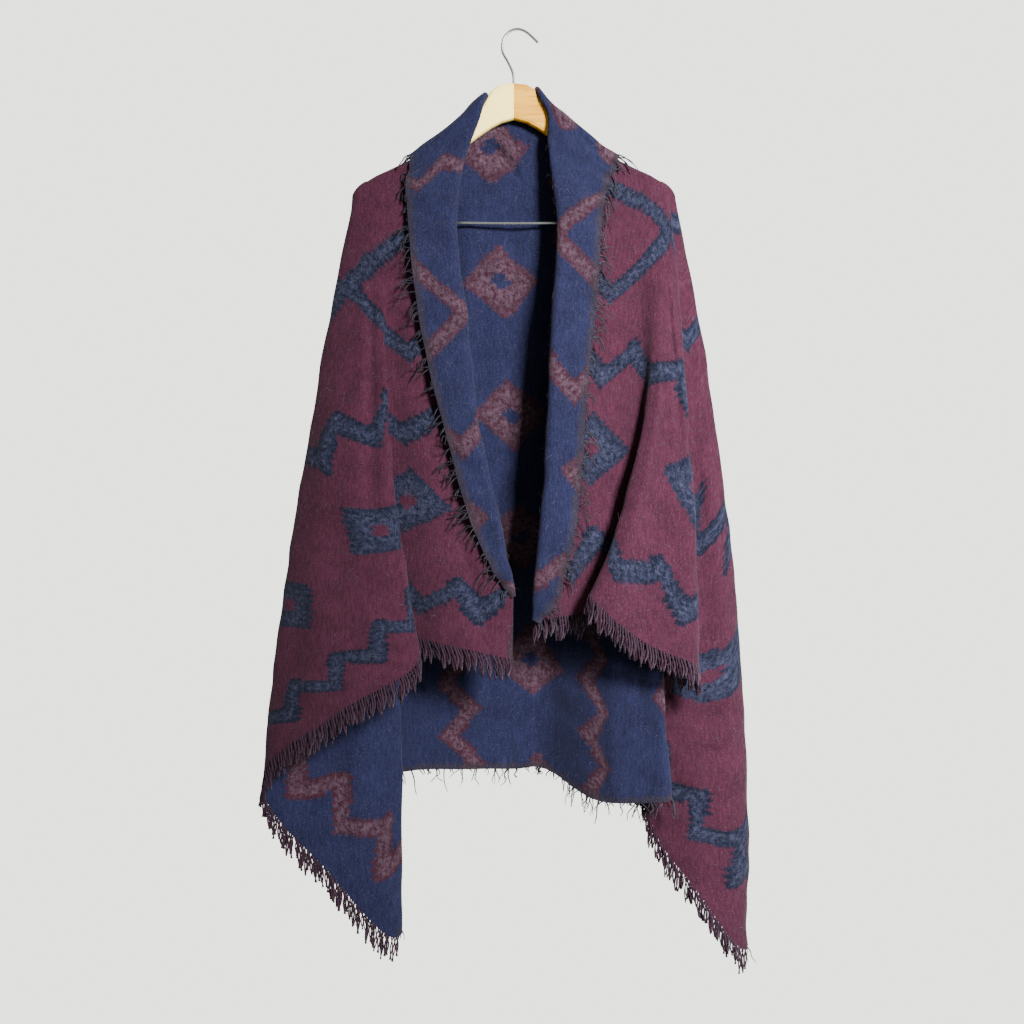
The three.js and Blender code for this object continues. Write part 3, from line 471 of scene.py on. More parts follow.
# One row for each line of the cloth, in its order round the garment. top is where it leaves the shoulder,
# and leg the side of the arm, -1 before it and 1 behind. x and depth are read half way down and at the
# lower edge, which is at down. middle is how far the line lies from the middle of the sheet and edge how
# far from its turned-out edge, at each quarter of the height, both in centimetres of cloth.
FOLDS = [
    {"follows": "left"},
    {"top": -118, "leg": -1, "x": [-122, -64], "depth": [-58, -94], "down": 860,
     "middle": [-10.5, -29.8, -49, -68.1, -87], "edge": [13, 13.5, 14, 11.6, 4.5]},
    {"top": -168, "leg": -1, "x": [-188, -205], "depth": [-50, -62], "down": 838,
     "middle": [-15.4, -32, -49.5, -67.8, -87], "edge": [17, 18.6, 20.5, 21.2, 21]},
    {"top": -188, "leg": -1, "x": [-180, -136], "depth": [-62, -110], "down": 868,
     "middle": [-17, -34.4, -54, -69.5, -87], "edge": [18.5, 20.3, 21.5, 33.4, 44.5]},
    {"top": -205, "leg": -1, "x": [-236, -246], "depth": [-62, -112], "down": 946,
     "middle": [-19.9, -37.5, -55.2, -67, -86], "edge": [20.5, 24.7, 28.5, 44, 61]},
    {"top": -225, "leg": -1, "x": [-300, -352], "depth": [-32, -70], "down": 1040,
     "middle": [-20, -39, -55.5, -66.5, -86], "edge": [22, 30, 38, 59, 76]},
    {"top": -229.3, "leg": 1, "x": [-240, -262], "depth": [-19, -54], "down": 1165,
     "middle": [-20, -37.1, -54, -70.6, -87], "edge": [22.3, 36, 53, 76, 91]},
    {"top": -225, "leg": 1, "x": [-174, -165], "depth": [-9, -40], "down": 1255,
     "middle": [-20, -37.1, -54, -70.6, -87], "edge": [22.6, 42, 64, 88, 105.5]},
    {"top": -217, "leg": 1, "x": [-224, -246], "depth": [0, -22], "down": 1110,
     "middle": [-20, -33.8, -46, -56.8, -66], "edge": [23, 43.5, 64, 85, 105.5]},
    {"top": -205, "leg": 1, "x": [-180, -176], "depth": [9, -5], "down": 1075,
     "middle": [-19.5, -29.3, -38, -45.6, -52], "edge": [23, 43, 64, 85, 105.5]},
    {"top": -190, "leg": 1, "x": [-200, -222], "depth": [18, 7], "down": 1052,
     "middle": [-19, -23.6, -28, -32.1, -36], "edge": [22, 40, 62, 84.5, 105.5]},
    {"top": -168, "leg": 1, "x": [-152, -150], "depth": [25, 17], "down": 1031,
     "middle": [-12.6, -13.4, -14.6, -16.1, -18], "edge": [19, 36, 57, 82, 105.5]},
    {"top": -105, "leg": 1, "x": [-90, -78], "depth": [23, 19], "down": 1029,
     "middle": [-6.3, -7.3, -8.4, -9.6, -10.8], "edge": [15.8, 37, 59, 83.3, 105.5]},
    {"neck": LEFT_BACK, "x": [-46, -40], "depth": [23, 20], "down": 1028,
     "middle": [-1.6, -2.7, -4, -5.4, -7], "edge": [12.6, 35.1, 57.8, 82.4, 105.5]},
    {"neck": 13, "x": [-2, 0], "depth": [22, 20], "down": 1028,
     "middle": [3.6, 2, 0.4, -1.3, -3], "edge": [8.8, 32, 55.5, 81.3, 105.5]},
    {"neck": RIGHT_BACK, "x": [36, 26], "depth": [21, 20], "down": 1025,
     "middle": [8.8, 6.5, 4.2, 1.9, -0.4], "edge": [12.6, 35, 57.7, 82.3, 105.5]},
    {"top": 104, "leg": 1, "x": [106, 112], "depth": [-2, -48], "down": 1068,
     "middle": [16.2, 13.8, 12, 10.8, 10.3], "edge": [16.6, 37, 59.5, 83, 105.5]},
    {"top": 150, "leg": 1, "x": [150, 160], "depth": [-20, -70], "down": 1071,
     "middle": [21.6, 19.6, 18.5, 18.2, 18.8], "edge": [21, 38, 58, 82.5, 105.5]},
    {"top": 180, "leg": 1, "x": [186, 212], "depth": [-28, -78], "down": 1066,
     "middle": [25.2, 24.1, 24, 24.8, 26.5], "edge": [25, 40, 59, 83, 105.5]},
    {"top": 196, "leg": 1, "x": [164, 122], "depth": [8, -20], "down": 1052,
     "middle": [27, 32.1, 37, 41.6, 46], "edge": [27, 44, 63, 84.5, 105.5]},
    {"top": 210, "leg": 1, "x": [222, 222], "depth": [6, -14], "down": 1104,
     "middle": [28, 36.8, 46, 55.8, 66], "edge": [26.8, 45, 65, 85, 105.5]},
    {"top": 218, "leg": 1, "x": [297, 313], "depth": [-14, -42], "down": 1272,
     "middle": [28, 42.8, 57.5, 72.2, 87], "edge": [26.6, 46, 66, 86, 105.5]},
    {"top": 216, "leg": -1, "x": [250, 250], "depth": [-24, -56], "down": 1196,
     "middle": [28, 40.1, 54, 69.6, 87], "edge": [26.5, 41, 55.5, 76, 95]},
    {"top": 210, "leg": -1, "x": [217, 182], "depth": [-23, -28], "down": 1088,
     "middle": [28, 39.4, 53, 68.9, 87], "edge": [26.3, 41, 54, 68, 82]},
    {"top": 204, "leg": -1, "x": [230, 202], "depth": [-48, -45], "down": 893,
     "middle": [28, 42.4, 57, 71.9, 87], "edge": [25.3, 29, 38, 48, 56]},
    {"top": 196, "leg": -1, "x": [235, 249], "depth": [-62, -98], "down": 885,
     "middle": [28, 43.1, 58, 72.6, 87], "edge": [24, 25.2, 33, 35.5, 39.5]},
    {"top": 185, "leg": -1, "x": [206, 172], "depth": [-66, -114], "down": 848,
     "middle": [26.5, 42.6, 58, 72.8, 87], "edge": [22.8, 23.5, 29, 30, 31.5]},
    {"top": 170, "leg": -1, "x": [182, 99], "depth": [-60, -112], "down": 783,
     "middle": [25.5, 41.1, 56.5, 71.8, 87], "edge": [21.2, 21.6, 25, 25.3, 24.8]},
    {"top": 150, "leg": -1, "x": [172, 146], "depth": [-42, -60], "down": 802,
     "middle": [23, 40.5, 57, 72.5, 87], "edge": [19, 19.5, 23.5, 22.5, 18.6]},
    {"top": 100, "leg": -1, "x": [100, 70], "depth": [-48, -74], "down": 812,
     "middle": [17.6, 37.7, 56, 72.4, 87], "edge": [13.8, 13.4, 15.2, 15, 11]},
    {"follows": "right"},
]
QUARTERS = 4
HANG_FADES = 10
NOSE_FULLNESS = 0.48
# The lines at the two arms' ends, and the first and last line at the back of the neck
LEFT_END, RIGHT_END = 5.7, 21.4
NECK_FIRST, NECK_LAST = 13, 15


def through_three(a, b, c, v):
    """The parabola through a at the top, b half way down and c at the lower edge."""
    return a * (1 - v) * (1 - 2 * v) + b * 4 * v * (1 - v) + c * v * (2 * v - 1)


def fold_lines(v):
    """Every line of FOLDS at the heights v: across, down, depth, and the two places on the sheet."""
    lines = []
    for row in FOLDS:
        if "follows" in row:
            lines.append(front_inner(row["follows"], v))
            continue
        if "neck" in row:
            seam = neck_row(np.array(float(row["neck"])))
            top = (seam["seam_x"], seam["seam_down"], seam["depth"])
        else:
            top = (row["top"], crest(row["top"]) + LEG_DROP, row["leg"] * leg_depth(row["top"]))
        across = through_three(top[0], *row["x"], v)
        down = top[1] + (row["down"] - top[1]) * v
        depth = through_three(top[2], *row["depth"], v)
        middle = through(np.array(row["middle"]), v * QUARTERS)
        edge = through(np.array(row["edge"]), v * QUARTERS)
        lines.append(np.stack([across, down, depth, middle, edge], axis=-1))
    return np.array(lines)


def between_lines(lines, u):
    """A cubic between neighbouring lines, whose ends leave along the middle of the two directions there:
    straight through where the cloth is flat, a round nose where it turns back. The places on the sheet
    run evenly between the lines."""
    k = np.clip(np.floor(u).astype(int), 0, len(lines) - 2)
    f = (u - k)[:, None, None]
    start, end = lines[k][..., :3], lines[k + 1][..., :3]
    chord = end - start
    first = (k > 0)[:, None, None]
    last = (k < len(lines) - 2)[:, None, None]
    before = np.where(first, start - lines[np.maximum(k - 1, 0)][..., :3], chord)
    after = np.where(last, lines[np.minimum(k + 2, len(lines) - 1)][..., :3] - end, chord)

    def length(vectors):
        return np.maximum(np.linalg.norm(vectors, axis=-1, keepdims=True), 1e-9)

    def leave(one, other):
        both = one / length(one) + other / length(other)
        agree = length(both) / 2
        return both / length(both) * length(chord) * (NOSE_FULLNESS + (1 - NOSE_FULLNESS) * agree)

    point = (
        start * (2 * f**3 - 3 * f**2 + 1)
        + leave(before, chord) * (f**3 - 2 * f**2 + f)
        + end * (3 * f**2 - 2 * f**3)
        + leave(chord, after) * (f**3 - f**2)
    )
    sheet = lines[k][..., 3:] + (lines[k + 1] - lines[k])[..., 3:] * f
    return point, sheet


def hanging_line(u, across):
    """The line along the arms' legs and the back of the neck that the cloth hangs from."""
    share = np.clip((u - NECK_FIRST) / (NECK_LAST - NECK_FIRST), 0, 1)
    seam = neck_row(LEFT_BACK + (RIGHT_BACK - LEFT_BACK) * share)
    at_neck = (u > NECK_FIRST) & (u < NECK_LAST)
    leg = np.where((u < LEFT_END) | (u > RIGHT_END), -1, 1)
    return np.stack([
        np.where(at_neck, seam["seam_x"], across),
        np.where(at_neck, seam["seam_down"], crest(across) + LEG_DROP),
        np.where(at_neck, seam["depth"], leg * leg_depth(across)),
    ], axis=-1)


# Creases that run down the cloth: the line that each follows at the top and at the lower edge, its width in
# lines, where it begins and ends in height, and its rise in millimetres
CREASES = [
    {"top": 1.5, "low": 1.2, "wide": 0.22, "from": 0.25, "to": 1.05, "rise": 5},
    {"top": 0.9, "low": 0.6, "wide": 0.16, "from": 0.40, "to": 1.05, "rise": -4},
    {"top": 3.5, "low": 3.45, "wide": 0.16, "from": 0.15, "to": 0.75, "rise": -5},
    {"top": 4.3, "low": 4.35, "wide": 0.18, "from": 0.30, "to": 1.05, "rise": 5},
    {"top": 6.2, "low": 6.4, "wide": 0.20, "from": 0.45, "to": 1.05, "rise": -5},
    {"top": 11.6, "low": 11.8, "wide": 0.30, "from": 0.20, "to": 1.05, "rise": 4},
    {"top": 12.6, "low": 12.5, "wide": 0.30, "from": 0.05, "to": 0.95, "rise": -5},
    {"top": 13.9, "low": 13.7, "wide": 0.25, "from": 0.03, "to": 0.60, "rise": 3},
    {"top": 14.6, "low": 14.8, "wide": 0.30, "from": 0.10, "to": 1.05, "rise": -4},
    {"top": 16.4, "low": 16.5, "wide": 0.25, "from": 0.30, "to": 1.05, "rise": -4},
    {"top": 17.5, "low": 17.4, "wide": 0.25, "from": 0.25, "to": 1.05, "rise": 4},
    {"top": 21.6, "low": 21.5, "wide": 0.22, "from": 0.25, "to": 1.05, "rise": 5},
    {"top": 25.5, "low": 25.5, "wide": 0.18, "from": 0.20, "to": 0.80, "rise": -5},
    {"top": 26.6, "low": 26.5, "wide": 0.16, "from": 0.35, "to": 1.05, "rise": 5},
    {"top": 29.3, "low": 29.3, "wide": 0.20, "from": 0.20, "to": 1.05, "rise": 5},
]
# Small wrinkles across the cloth below the neck and the shoulders: the lines between which each runs, its
# height at the first of them, its slope, how tall it is, and its rise in millimetres
CROSS_CREASES = [
    {"from": 13.8, "to": 15.1, "at": 0.137, "slope": -0.033, "tall": 0.0060, "rise": -2.5},
    {"from": 13.1, "to": 14.1, "at": 0.020, "slope": 0.075, "tall": 0.0110, "rise": -6.0},
    {"from": 13.2, "to": 14.3, "at": 0.046, "slope": 0.075, "tall": 0.0110, "rise": 5.0},
    {"from": 7.5, "to": 10.5, "at": 0.180, "slope": 0.020, "tall": 0.0120, "rise": -2.0},
    {"from": 17.8, "to": 19.8, "at": 0.160, "slope": -0.020, "tall": 0.0120, "rise": -2.0},
]
# Low swells of the felt: rise in millimetres, waves along and down the sheet, and where each starts
SWELLS = [
    (0.9, 31, 17, 0.3), (0.7, 13, 43, 1.9), (0.6, 57, 29, 4.1), (0.4, 83, 61, 2.6), (0.3, 40, 110, 0.8),
]
CREASE_FADES = 0.15
CROSS_FADES = 0.3
SWELLS_GROW = 0.2


def creased(u, v):
    """The rise of all creases: each a bell across its line, faded in and out over CREASE_FADES of the
    height, with a slow wave along it so that no two stretches of it are alike."""
    total = np.zeros((len(u), len(v)))
    for n, row in enumerate(CREASES):
        line = row["top"] + (row["low"] - row["top"]) * v + 0.05 * np.sin(9 * v + n)
        bell = np.exp(-(((u[:, None] - line) / row["wide"]) ** 2))
        begins = np.clip((v - row["from"]) / CREASE_FADES, 0, 1)
        fade = begins * np.clip((row["to"] - v) / CREASE_FADES, 0, 1)
        total += row["rise"] * bell * fade * (0.75 + 0.25 * np.sin(7 * v + 2.1 * n))
    return total


def cross_creased(u, v):
    """The rise of the wrinkles that lie across: each a bell of the height about a slightly wavy line, faded
    out at both its ends."""
    total = np.zeros((len(u), len(v)))
    for row in CROSS_CREASES:
        line = row["at"] + row["slope"] * (u[:, None] - row["from"]) + 0.004 * np.sin(4 * u[:, None])
        bell = np.exp(-(((v - line) / row["tall"]) ** 2))
        begins = np.clip((u - row["from"]) / CROSS_FADES, 0, 1)
        ends = begins * np.clip((row["to"] - u) / CROSS_FADES, 0, 1)
        total += row["rise"] * bell * ends[:, None]
    return total


def soft_felt(place):
    """The swells of felted wool: a sum of slow sine waves over the sheet, mostly under 1.5 mm."""
    s, t = place[..., 0], place[..., 1]
    total = 0
    for rise, a, b, start in SWELLS:
        total = total + rise * np.sin(a * s + b * t + start + 1.3 * np.sin(0.6 * b * s - 0.7 * a * t))
    return total


def hanging_cloth(u, v):
    """The hanging sheet's middle surface on a grid of lines and heights, with its place on the sheet.
    The top is kept to the line that it hangs from, and that is soon left below it."""
    lines = fold_lines(np.clip(v, 0, None))
    point, sheet = between_lines(lines, u)
    top, _ = between_lines(fold_lines(np.zeros(1)), u)
    target = hanging_line(u, top[:, 0, 0])
    keep = (1 - np.clip(v, 0, 1))[None, :, None] ** HANG_FADES
    point = point + (target[:, None] - top) * keep
    return placed(point[..., 0], point[..., 1], point[..., 2]), sheet / 100


ARCH_CLOTH = 0.02


def over_the_arm(u, rounds):
    """The rows above the hanging line, rounds being 0 there and 1 at the arm's crest: an arch whose rise
    and half depth are the sine and cosine of the turn, each to the power ARCH_SQUARENESS. At the back of
    the neck they stay just above the seam, inside the roll."""
    top, sheet = between_lines(fold_lines(np.zeros(1)), u)
    across = top[:, 0, 0]
    foot = hanging_line(u, across)
    turn = rounds[None, :] * np.pi / 2
    rise = LEG_DROP * (leg_depth(across) / LEG_DEPTH)[:, None] * np.sin(turn) ** ARCH_SQUARENESS
    half = foot[:, 2][:, None] * np.cos(turn) ** ARCH_SQUARENESS
    at_neck = ((u > NECK_FIRST - 0.001) & (u < NECK_LAST + 0.001))[:, None]
    down = np.where(at_neck, foot[:, 1][:, None] - 2 * rounds, crest(across)[:, None] + LEG_DROP - rise)
    depth = np.where(at_neck, foot[:, 2][:, None] - rounds, half)
    x = np.broadcast_to(foot[:, 0][:, None], down.shape)
    front = ((u < LEFT_END) | (u > RIGHT_END))[:, None]
    side = np.where(u < NECK_FIRST, -1, 1)[:, None]
    back = rounds[None, :] * ARCH_CLOTH
    place = np.repeat(sheet / 100, len(rounds), axis=1)
    place[..., 0] -= np.where(front, side * back, 0)
    place[..., 1] -= np.where(front | at_neck, 0, back)
    return placed(x, down, depth), place


def unit(vectors):
    """The vectors, each made one long."""
    return vectors / np.maximum(np.linalg.norm(vectors, axis=-1, keepdims=True), 1e-12)


def surface_normals(points):
    """Unit normals of a grid of points: the cross product of the differences along both ways."""
    return unit(np.cross(np.gradient(points, axis=0), np.gradient(points, axis=1)))


def cloth_shell(name, points, normals, place, rise, materials):
    """A closed wall about a grid: its points raised along the normals, then moved out and in by half the
    wall, with a rim round all four sides. The outer face takes the first material, the rest the second."""
    rows, columns = points.shape[:2]
    lifted = points + normals * rise[..., None]
    grid = np.arange(rows * columns).reshape(rows, columns)
    half = WALL / 2
    sides = [(lifted + normals * half).reshape(-1, 3), (lifted - normals * half).reshape(-1, 3)]
    vertices = np.concatenate(sides)
    a, b, c, d = grid[:-1, :-1], grid[1:, :-1], grid[1:, 1:], grid[:-1, 1:]
    outer = np.stack([a, b, c, d], axis=-1).reshape(-1, 4)
    inner = np.stack([a, d, c, b], axis=-1).reshape(-1, 4) + rows * columns
    loop = np.concatenate([grid[:-1, 0], grid[-1, :-1], grid[:0:-1, -1], grid[0, :0:-1]])
    onward = np.roll(loop, -1)
    rim = np.stack([onward, loop, loop + rows * columns, onward + rows * columns], axis=-1)
    faces = np.concatenate([outer, inner, rim])
    mesh = bpy.data.meshes.new(name)
    mesh.from_pydata(vertices.tolist(), [], faces.tolist())
    layer = mesh.uv_layers.new(name="cloth")
    flat = np.concatenate([place.reshape(-1, 2)] * 2)
    layer.data.foreach_set("uv", flat[faces.reshape(-1)].reshape(-1))
    for made in materials:
        mesh.materials.append(made)
    side = np.concatenate([np.zeros(len(outer)), np.ones(len(inner) + len(rim))]).astype(np.int32)
    mesh.polygons.foreach_set("material_index", side)
    mesh.shade_smooth()
    mesh.set_sharp_from_angle(angle=1.0)
    mesh.update()
    piece = bpy.data.objects.new(name, mesh)
    bpy.context.collection.objects.link(piece)
    return piece


# The grid: its width, the shares of the drop that its rows stand at, closer below the shoulder where the
# cloth bends most, and the rows over the arm
CLOTH_GRID = 0.0062
HEIGHTS = np.concatenate([np.linspace(0, 0.1, 22)[1:], np.linspace(0.1, 1, 150)[1:]])
ROUNDS = np.linspace(1, 0, 7)


def stations(first, last):
    """Lines to draw between two rows of FOLDS, as many as the cloth's width between them asks for."""
    lines = fold_lines(np.linspace(0, 1, 9))
    gaps = np.linalg.norm(np.diff(lines[..., :3], axis=0), axis=-1) / 1000
    marks = [np.array([float(first)])]
    for k in range(int(np.floor(first)), int(np.ceil(last))):
        start, end = max(first, k), min(last, k + 1)
        width = 0.6 * gaps[k].max() + 0.4 * gaps[k].mean()
        count = int(np.ceil(width * (end - start) / CLOTH_GRID)) + 3
        marks.append(np.linspace(start, end, count + 1)[1:])
    return np.concatenate(marks)


def drape(u):
    """The whole drop of the cloth at the lines u: over the arm, then down to the lower edge, with its place
    on the sheet and its rise. Creases and swells grow from nothing at the shoulder."""
    arch, arch_place = over_the_arm(u, ROUNDS)
    fall, fall_place = hanging_cloth(u, HEIGHTS)
    points = np.concatenate([arch, fall], axis=1)
    place = np.concatenate([arch_place, fall_place], axis=1)
    swell = np.concatenate([np.zeros(len(ROUNDS)), np.clip(HEIGHTS / SWELLS_GROW, 0, 1)])
    heights = np.concatenate([np.zeros(len(ROUNDS)), HEIGHTS])
    rise = ((creased(u, heights) + soft_felt(place)) * swell + cross_creased(u, heights)) / 1000
    return points, place, rise


STRETCHES = [
    {"name": "cloth_front_left", "from": 0, "to": 5.35,
     "for": ["front_left_inner", "front_left", "side_left", "shoulder_left"]},
    {"name": "cloth_back", "from": 5.35, "to": 21.05,
     "for": ["folds_left", "back_panel", "folds_right", "side_right", "shoulder_right"]},
    {"name": "cloth_front_right", "from": 21.05, "to": 30, "for": ["front_right"]},
]
drawn = [stations(row["from"], row["to"]) for row in STRETCHES]
all_lines = np.concatenate([drawn[0]] + [more[1:] for more in drawn[1:]])
cloth_points, cloth_place, cloth_rise = drape(all_lines)
cloth_normals = surface_normals(cloth_points)
cloth_shown = cloth_points + cloth_normals * cloth_rise[..., None]
for row in STRETCHES:
    mine = (all_lines >= row["from"] - 1e-9) & (all_lines <= row["to"] + 1e-9)
    piece = cloth_shell(
        row["name"], cloth_points[mine], cloth_normals[mine], cloth_place[mine], cloth_rise[mine],
        [wool_outside, wool_inside],
    )
    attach(piece, "root")
    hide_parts(*row["for"])

# The lapels and the collar
# The rest of the same sheet: its long edge is turned out, rolls over at the front openings and the back
# of the neck, and lies down over the arms with its navy inside showing. It tapers out at both lower ends.
TURN_SHARE = 0.4
RIM_SETTLES = 0.25
ARM_SETTLES = 0.6
# The rim's two waves: their rise in millimetres, their speed along the rows and where they start
RIM_WAVES = [(1.5, 5.1, 0), (1.2, 11.7, 1)]


def turned_edge(at, share):
    """The turned-out edge at the rows at, share being 0 at the seam and 1 at the rim: half a turn whose
    diameter is the lift, then flat while the lift settles, and following the arm's crest over an arm."""
    row = {name: values[:, None] for name, values in neck_row(at).items()}
    share = share[None, :]
    turn = np.minimum(share / TURN_SHARE, 1) * np.pi
    run = (share - TURN_SHARE) / (1 - TURN_SHARE)
    flat = run > 0
    width = np.hypot(row["rim_x"] - row["seam_x"], row["rim_down"] - row["seam_down"])
    along = np.where(flat, run, -np.sin(turn) * row["lift"] / 2 / width)
    arm = np.sin(np.radians(row["over"]))
    settled = run * run * RIM_SETTLES * (1 - arm) + run * (2 - run) * ARM_SETTLES * arm
    lift = np.where(flat, row["lift"] * (1 - settled), row["lift"] / 2 * (1 - np.cos(turn)))
    across = row["seam_x"] + (row["rim_x"] - row["seam_x"]) * along
    straight = row["seam_down"] + (row["rim_down"] - row["seam_down"]) * along
    down = straight + (crest(across) - straight) * arm * np.maximum(run, 0) - lift * arm
    depth = row["depth"] - lift * np.cos(np.radians(row["over"]))
    rolled = row["lift"] * turn / 2
    used = np.where(flat, row["lift"] * np.pi / 2 + run * width, rolled)
    edge = turned_width(row) - used / 10
    place = np.stack(np.broadcast_arrays(row["from_middle"], edge), axis=-1) / 100
    return placed(across, down, depth), place


collar_rows = np.concatenate([
    np.linspace(0, 7, 130)[:-1], np.linspace(7, 11, 36)[:-1], np.linspace(11, 15, 50)[:-1],
    np.linspace(15, 19, 36)[:-1], np.linspace(19, 26, 130),
])
collar_shares = np.concatenate([np.linspace(0, TURN_SHARE, 9)[:-1], np.linspace(TURN_SHARE, 1, 17)])
collar_points, collar_place = turned_edge(collar_rows, collar_shares)
collar_normals = surface_normals(collar_points)
near_rim = np.clip((collar_shares - 0.5) / 0.5, 0, 1)[None, :]
rim_wave = sum(rise * np.sin(speed * collar_rows + start) for rise, speed, start in RIM_WAVES)
collar_felt = soft_felt(collar_place * 1.3) * np.clip(collar_shares / 0.3, 0, 1)
collar_rise = (collar_felt - near_rim * rim_wave[:, None]) / 1000
collar = cloth_shell(
    "cloth_collar", collar_points, collar_normals, collar_place, collar_rise, [wool_inside, wool_outside]
)
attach(collar, "root")
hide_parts("lapel_left", "collar_back", "lapel_right")

# The fringe of the short edges
# Past the last row of weaving the ground's own yarns run free, and felting has doubled each one back into
# a soft twisted loop. They are purple-brown, 25 to 38 mm long, and hang close together all along the edge.
LOOP_SPACING = 0.0042
LOOP_LENGTH = 0.034
LOOP_YARN = 0.0013
LOOP_WIND = 0.0021
LOOP_SWAY = 0.0022
LOOP_POINTS = 8
ROOT_INSIDE = 0.003
LOOP_PURPLE = (0.034, 0.0105, 0.023, 1)
LOOP_DARK = (0.011, 0.0056, 0.012, 1)
chance = np.random.default_rng(7)


def edge_roots(line, out, face, spacing):
    """Places along a line of points, about a spacing apart, with the ways out of the cloth and off it."""
    along = np.concatenate([[0], np.cumsum(np.linalg.norm(np.diff(line, axis=0), axis=1))])
    count = int(along[-1] / spacing)
    at = (np.arange(count) + 0.5 + 0.35 * chance.uniform(-1, 1, count)) * along[-1] / count

    def read(values):
        return np.stack([np.interp(at, along, values[:, k]) for k in range(3)], axis=-1)

    return read(line), unit(read(out)), unit(read(face))


def hanging_paths(roots, out, length, fall, count):
    """From each root a path of count points that leaves along out and bends towards straight down. Its way
    is out * (1 - bend) + down * bend, with bend = fall * share ** 0.6, summed up over the length."""
    share = np.linspace(0, 1, count)[None, :, None]
    bend = fall[:, None, None] * share**0.6
    way = unit(out[:, None] * (1 - bend) + np.array([0, 0, -1.0]) * bend)
    steps = way[:, 1:] * (length / (count - 1))[:, None, None]
    return np.concatenate([roots[:, None], roots[:, None] + np.cumsum(steps, axis=1)], axis=1)


# A way that no yarn runs along, so that each has a side to either hand
ASIDE = np.array([0.15, 1.0, 0.1])


def yarn_tubes(name, paths, radii, made):
    """Tubes of three sides round all paths, closed at both ends. Their UV is a number by chance for each
    yarn and the share of its length."""
    many, count = paths.shape[:2]
    way = unit(np.gradient(paths, axis=1))
    side = unit(np.cross(way, ASIDE))
    other = np.cross(side, way)
    turn = np.arange(3) * 2 * np.pi / 3
    ring = side[:, :, None] * np.cos(turn)[:, None] + other[:, :, None] * np.sin(turn)[:, None]
    vertices = paths[:, :, None] + ring * radii[:, :, None, None]
    index = np.arange(many * count * 3).reshape(many, count, 3)
    onward = np.roll(index, -1, axis=2)
    walls = np.stack([index[:, :-1], onward[:, :-1], onward[:, 1:], index[:, 1:]], axis=-1).reshape(-1, 4)
    ends = np.concatenate([index[:, 0, ::-1], index[:, -1]])
    mesh = bpy.data.meshes.new(name)
    mesh.from_pydata(vertices.reshape(-1, 3).tolist(), [], walls.tolist() + ends.tolist())
    place = np.empty((many, count, 3, 2))
    place[..., 0] = chance.uniform(0, 1, many)[:, None, None]
    place[..., 1] = np.linspace(0, 1, count)[None, :, None]
    corners = np.concatenate([walls.reshape(-1), ends.reshape(-1)])
    layer = mesh.uv_layers.new(name="yarn")
    layer.data.foreach_set("uv", place.reshape(-1, 2)[corners].reshape(-1))
    mesh.materials.append(made)
    mesh.shade_smooth()
    piece = bpy.data.objects.new(name, mesh)
    bpy.context.collection.objects.link(piece)
    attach(piece, "root")
    return piece


YARN_FINISH = {"Roughness": 0.95, "Specular IOR Level": 0.06, "Sheen Weight": 0.08, "Sheen Roughness": 0.5}


def yarn(name, one, other):
    """Yarn coloured between two colours by its chance number and fine noise, with a rough woollen sheen."""
    made, tree, shader = material(name)
    own = new_node(tree, "UVMap", {})
    own.uv_map = "yarn"
    chosen = new_node(tree, "SeparateXYZ", {"Vector": own.outputs["UV"]}).outputs["X"]
    uneven = noise(tree, new_node(tree, "TexCoord", {}).outputs["Object"], 900, 2, 0.6)
    share = calculate(tree, "MULTIPLY_ADD", uneven, 0.7, calculate(tree, "MULTIPLY", chosen, 0.4))
    raised = relief(tree, uneven, 0.6, 0.0006)
    fill(tree, shader, {"Base Color": mixed(tree, share, one, other), "Normal": raised, **YARN_FINISH})
    return made


def twisted_loops(roots, out, face):
    """Each yarn goes down its path and back up it, the way back half a turn round from the way down. Both
    wind 0.8 of a turn about the path, closer towards the tip, so that the two legs lie about each other."""
    many = len(roots)
    length = LOOP_LENGTH * chance.uniform(0.72, 1.12, many)
    fall = chance.uniform(0.45, 0.95, many)
    middle = hanging_paths(roots - out * ROOT_INSIDE, out, length, fall, LOOP_POINTS)
    share = np.linspace(0, 1, LOOP_POINTS)[None, :, None]
    middle[..., :2] += chance.normal(0, LOOP_SWAY, (many, 1, 2)) * share**1.5
    down = np.arange(LOOP_POINTS)
    there = np.concatenate([down, down[::-1]])
    depth = there / (LOOP_POINTS - 1)
    turn = depth * np.pi * 1.6 + np.repeat([0, np.pi], LOOP_POINTS)
    start = chance.uniform(0, 0.6, many)[:, None] - 0.3
    side = unit(np.cross(out, face))
    wide = (LOOP_WIND * (1 - 0.35 * depth))[None, :, None]
    angle = (turn[None, :] + start)[:, :, None]
    return middle[:, there] + wide * (np.cos(angle) * side[:, None] + 0.5 * np.sin(angle) * face[:, None])


def lower_edge(first, last):
    """The cloth's lower edge between two rows of FOLDS, and its ways out of the cloth and off its face."""
    mine = (all_lines >= first) & (all_lines <= last)
    edge = cloth_shown[mine, -1]
    return edge, edge - cloth_shown[mine, -4], cloth_normals[mine, -1]


loops = []
for first, last in ((0, 7), (21, 30)):
    line, out, face = lower_edge(first, last)
    loops.append(twisted_loops(*edge_roots(line, out, face, LOOP_SPACING)))
loops = np.concatenate(loops)
radii = LOOP_YARN * chance.uniform(0.75, 1.2, (len(loops), 1)) * np.ones((1, loops.shape[1]))
end_fringe = yarn_tubes("fringe_ends", loops, radii, yarn("loop_yarn", LOOP_PURPLE, LOOP_DARK))
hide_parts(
    "fringe_front_left_inner", "fringe_front_left", "fringe_side_left", "fringe_side_right",
    "fringe_front_right",
)

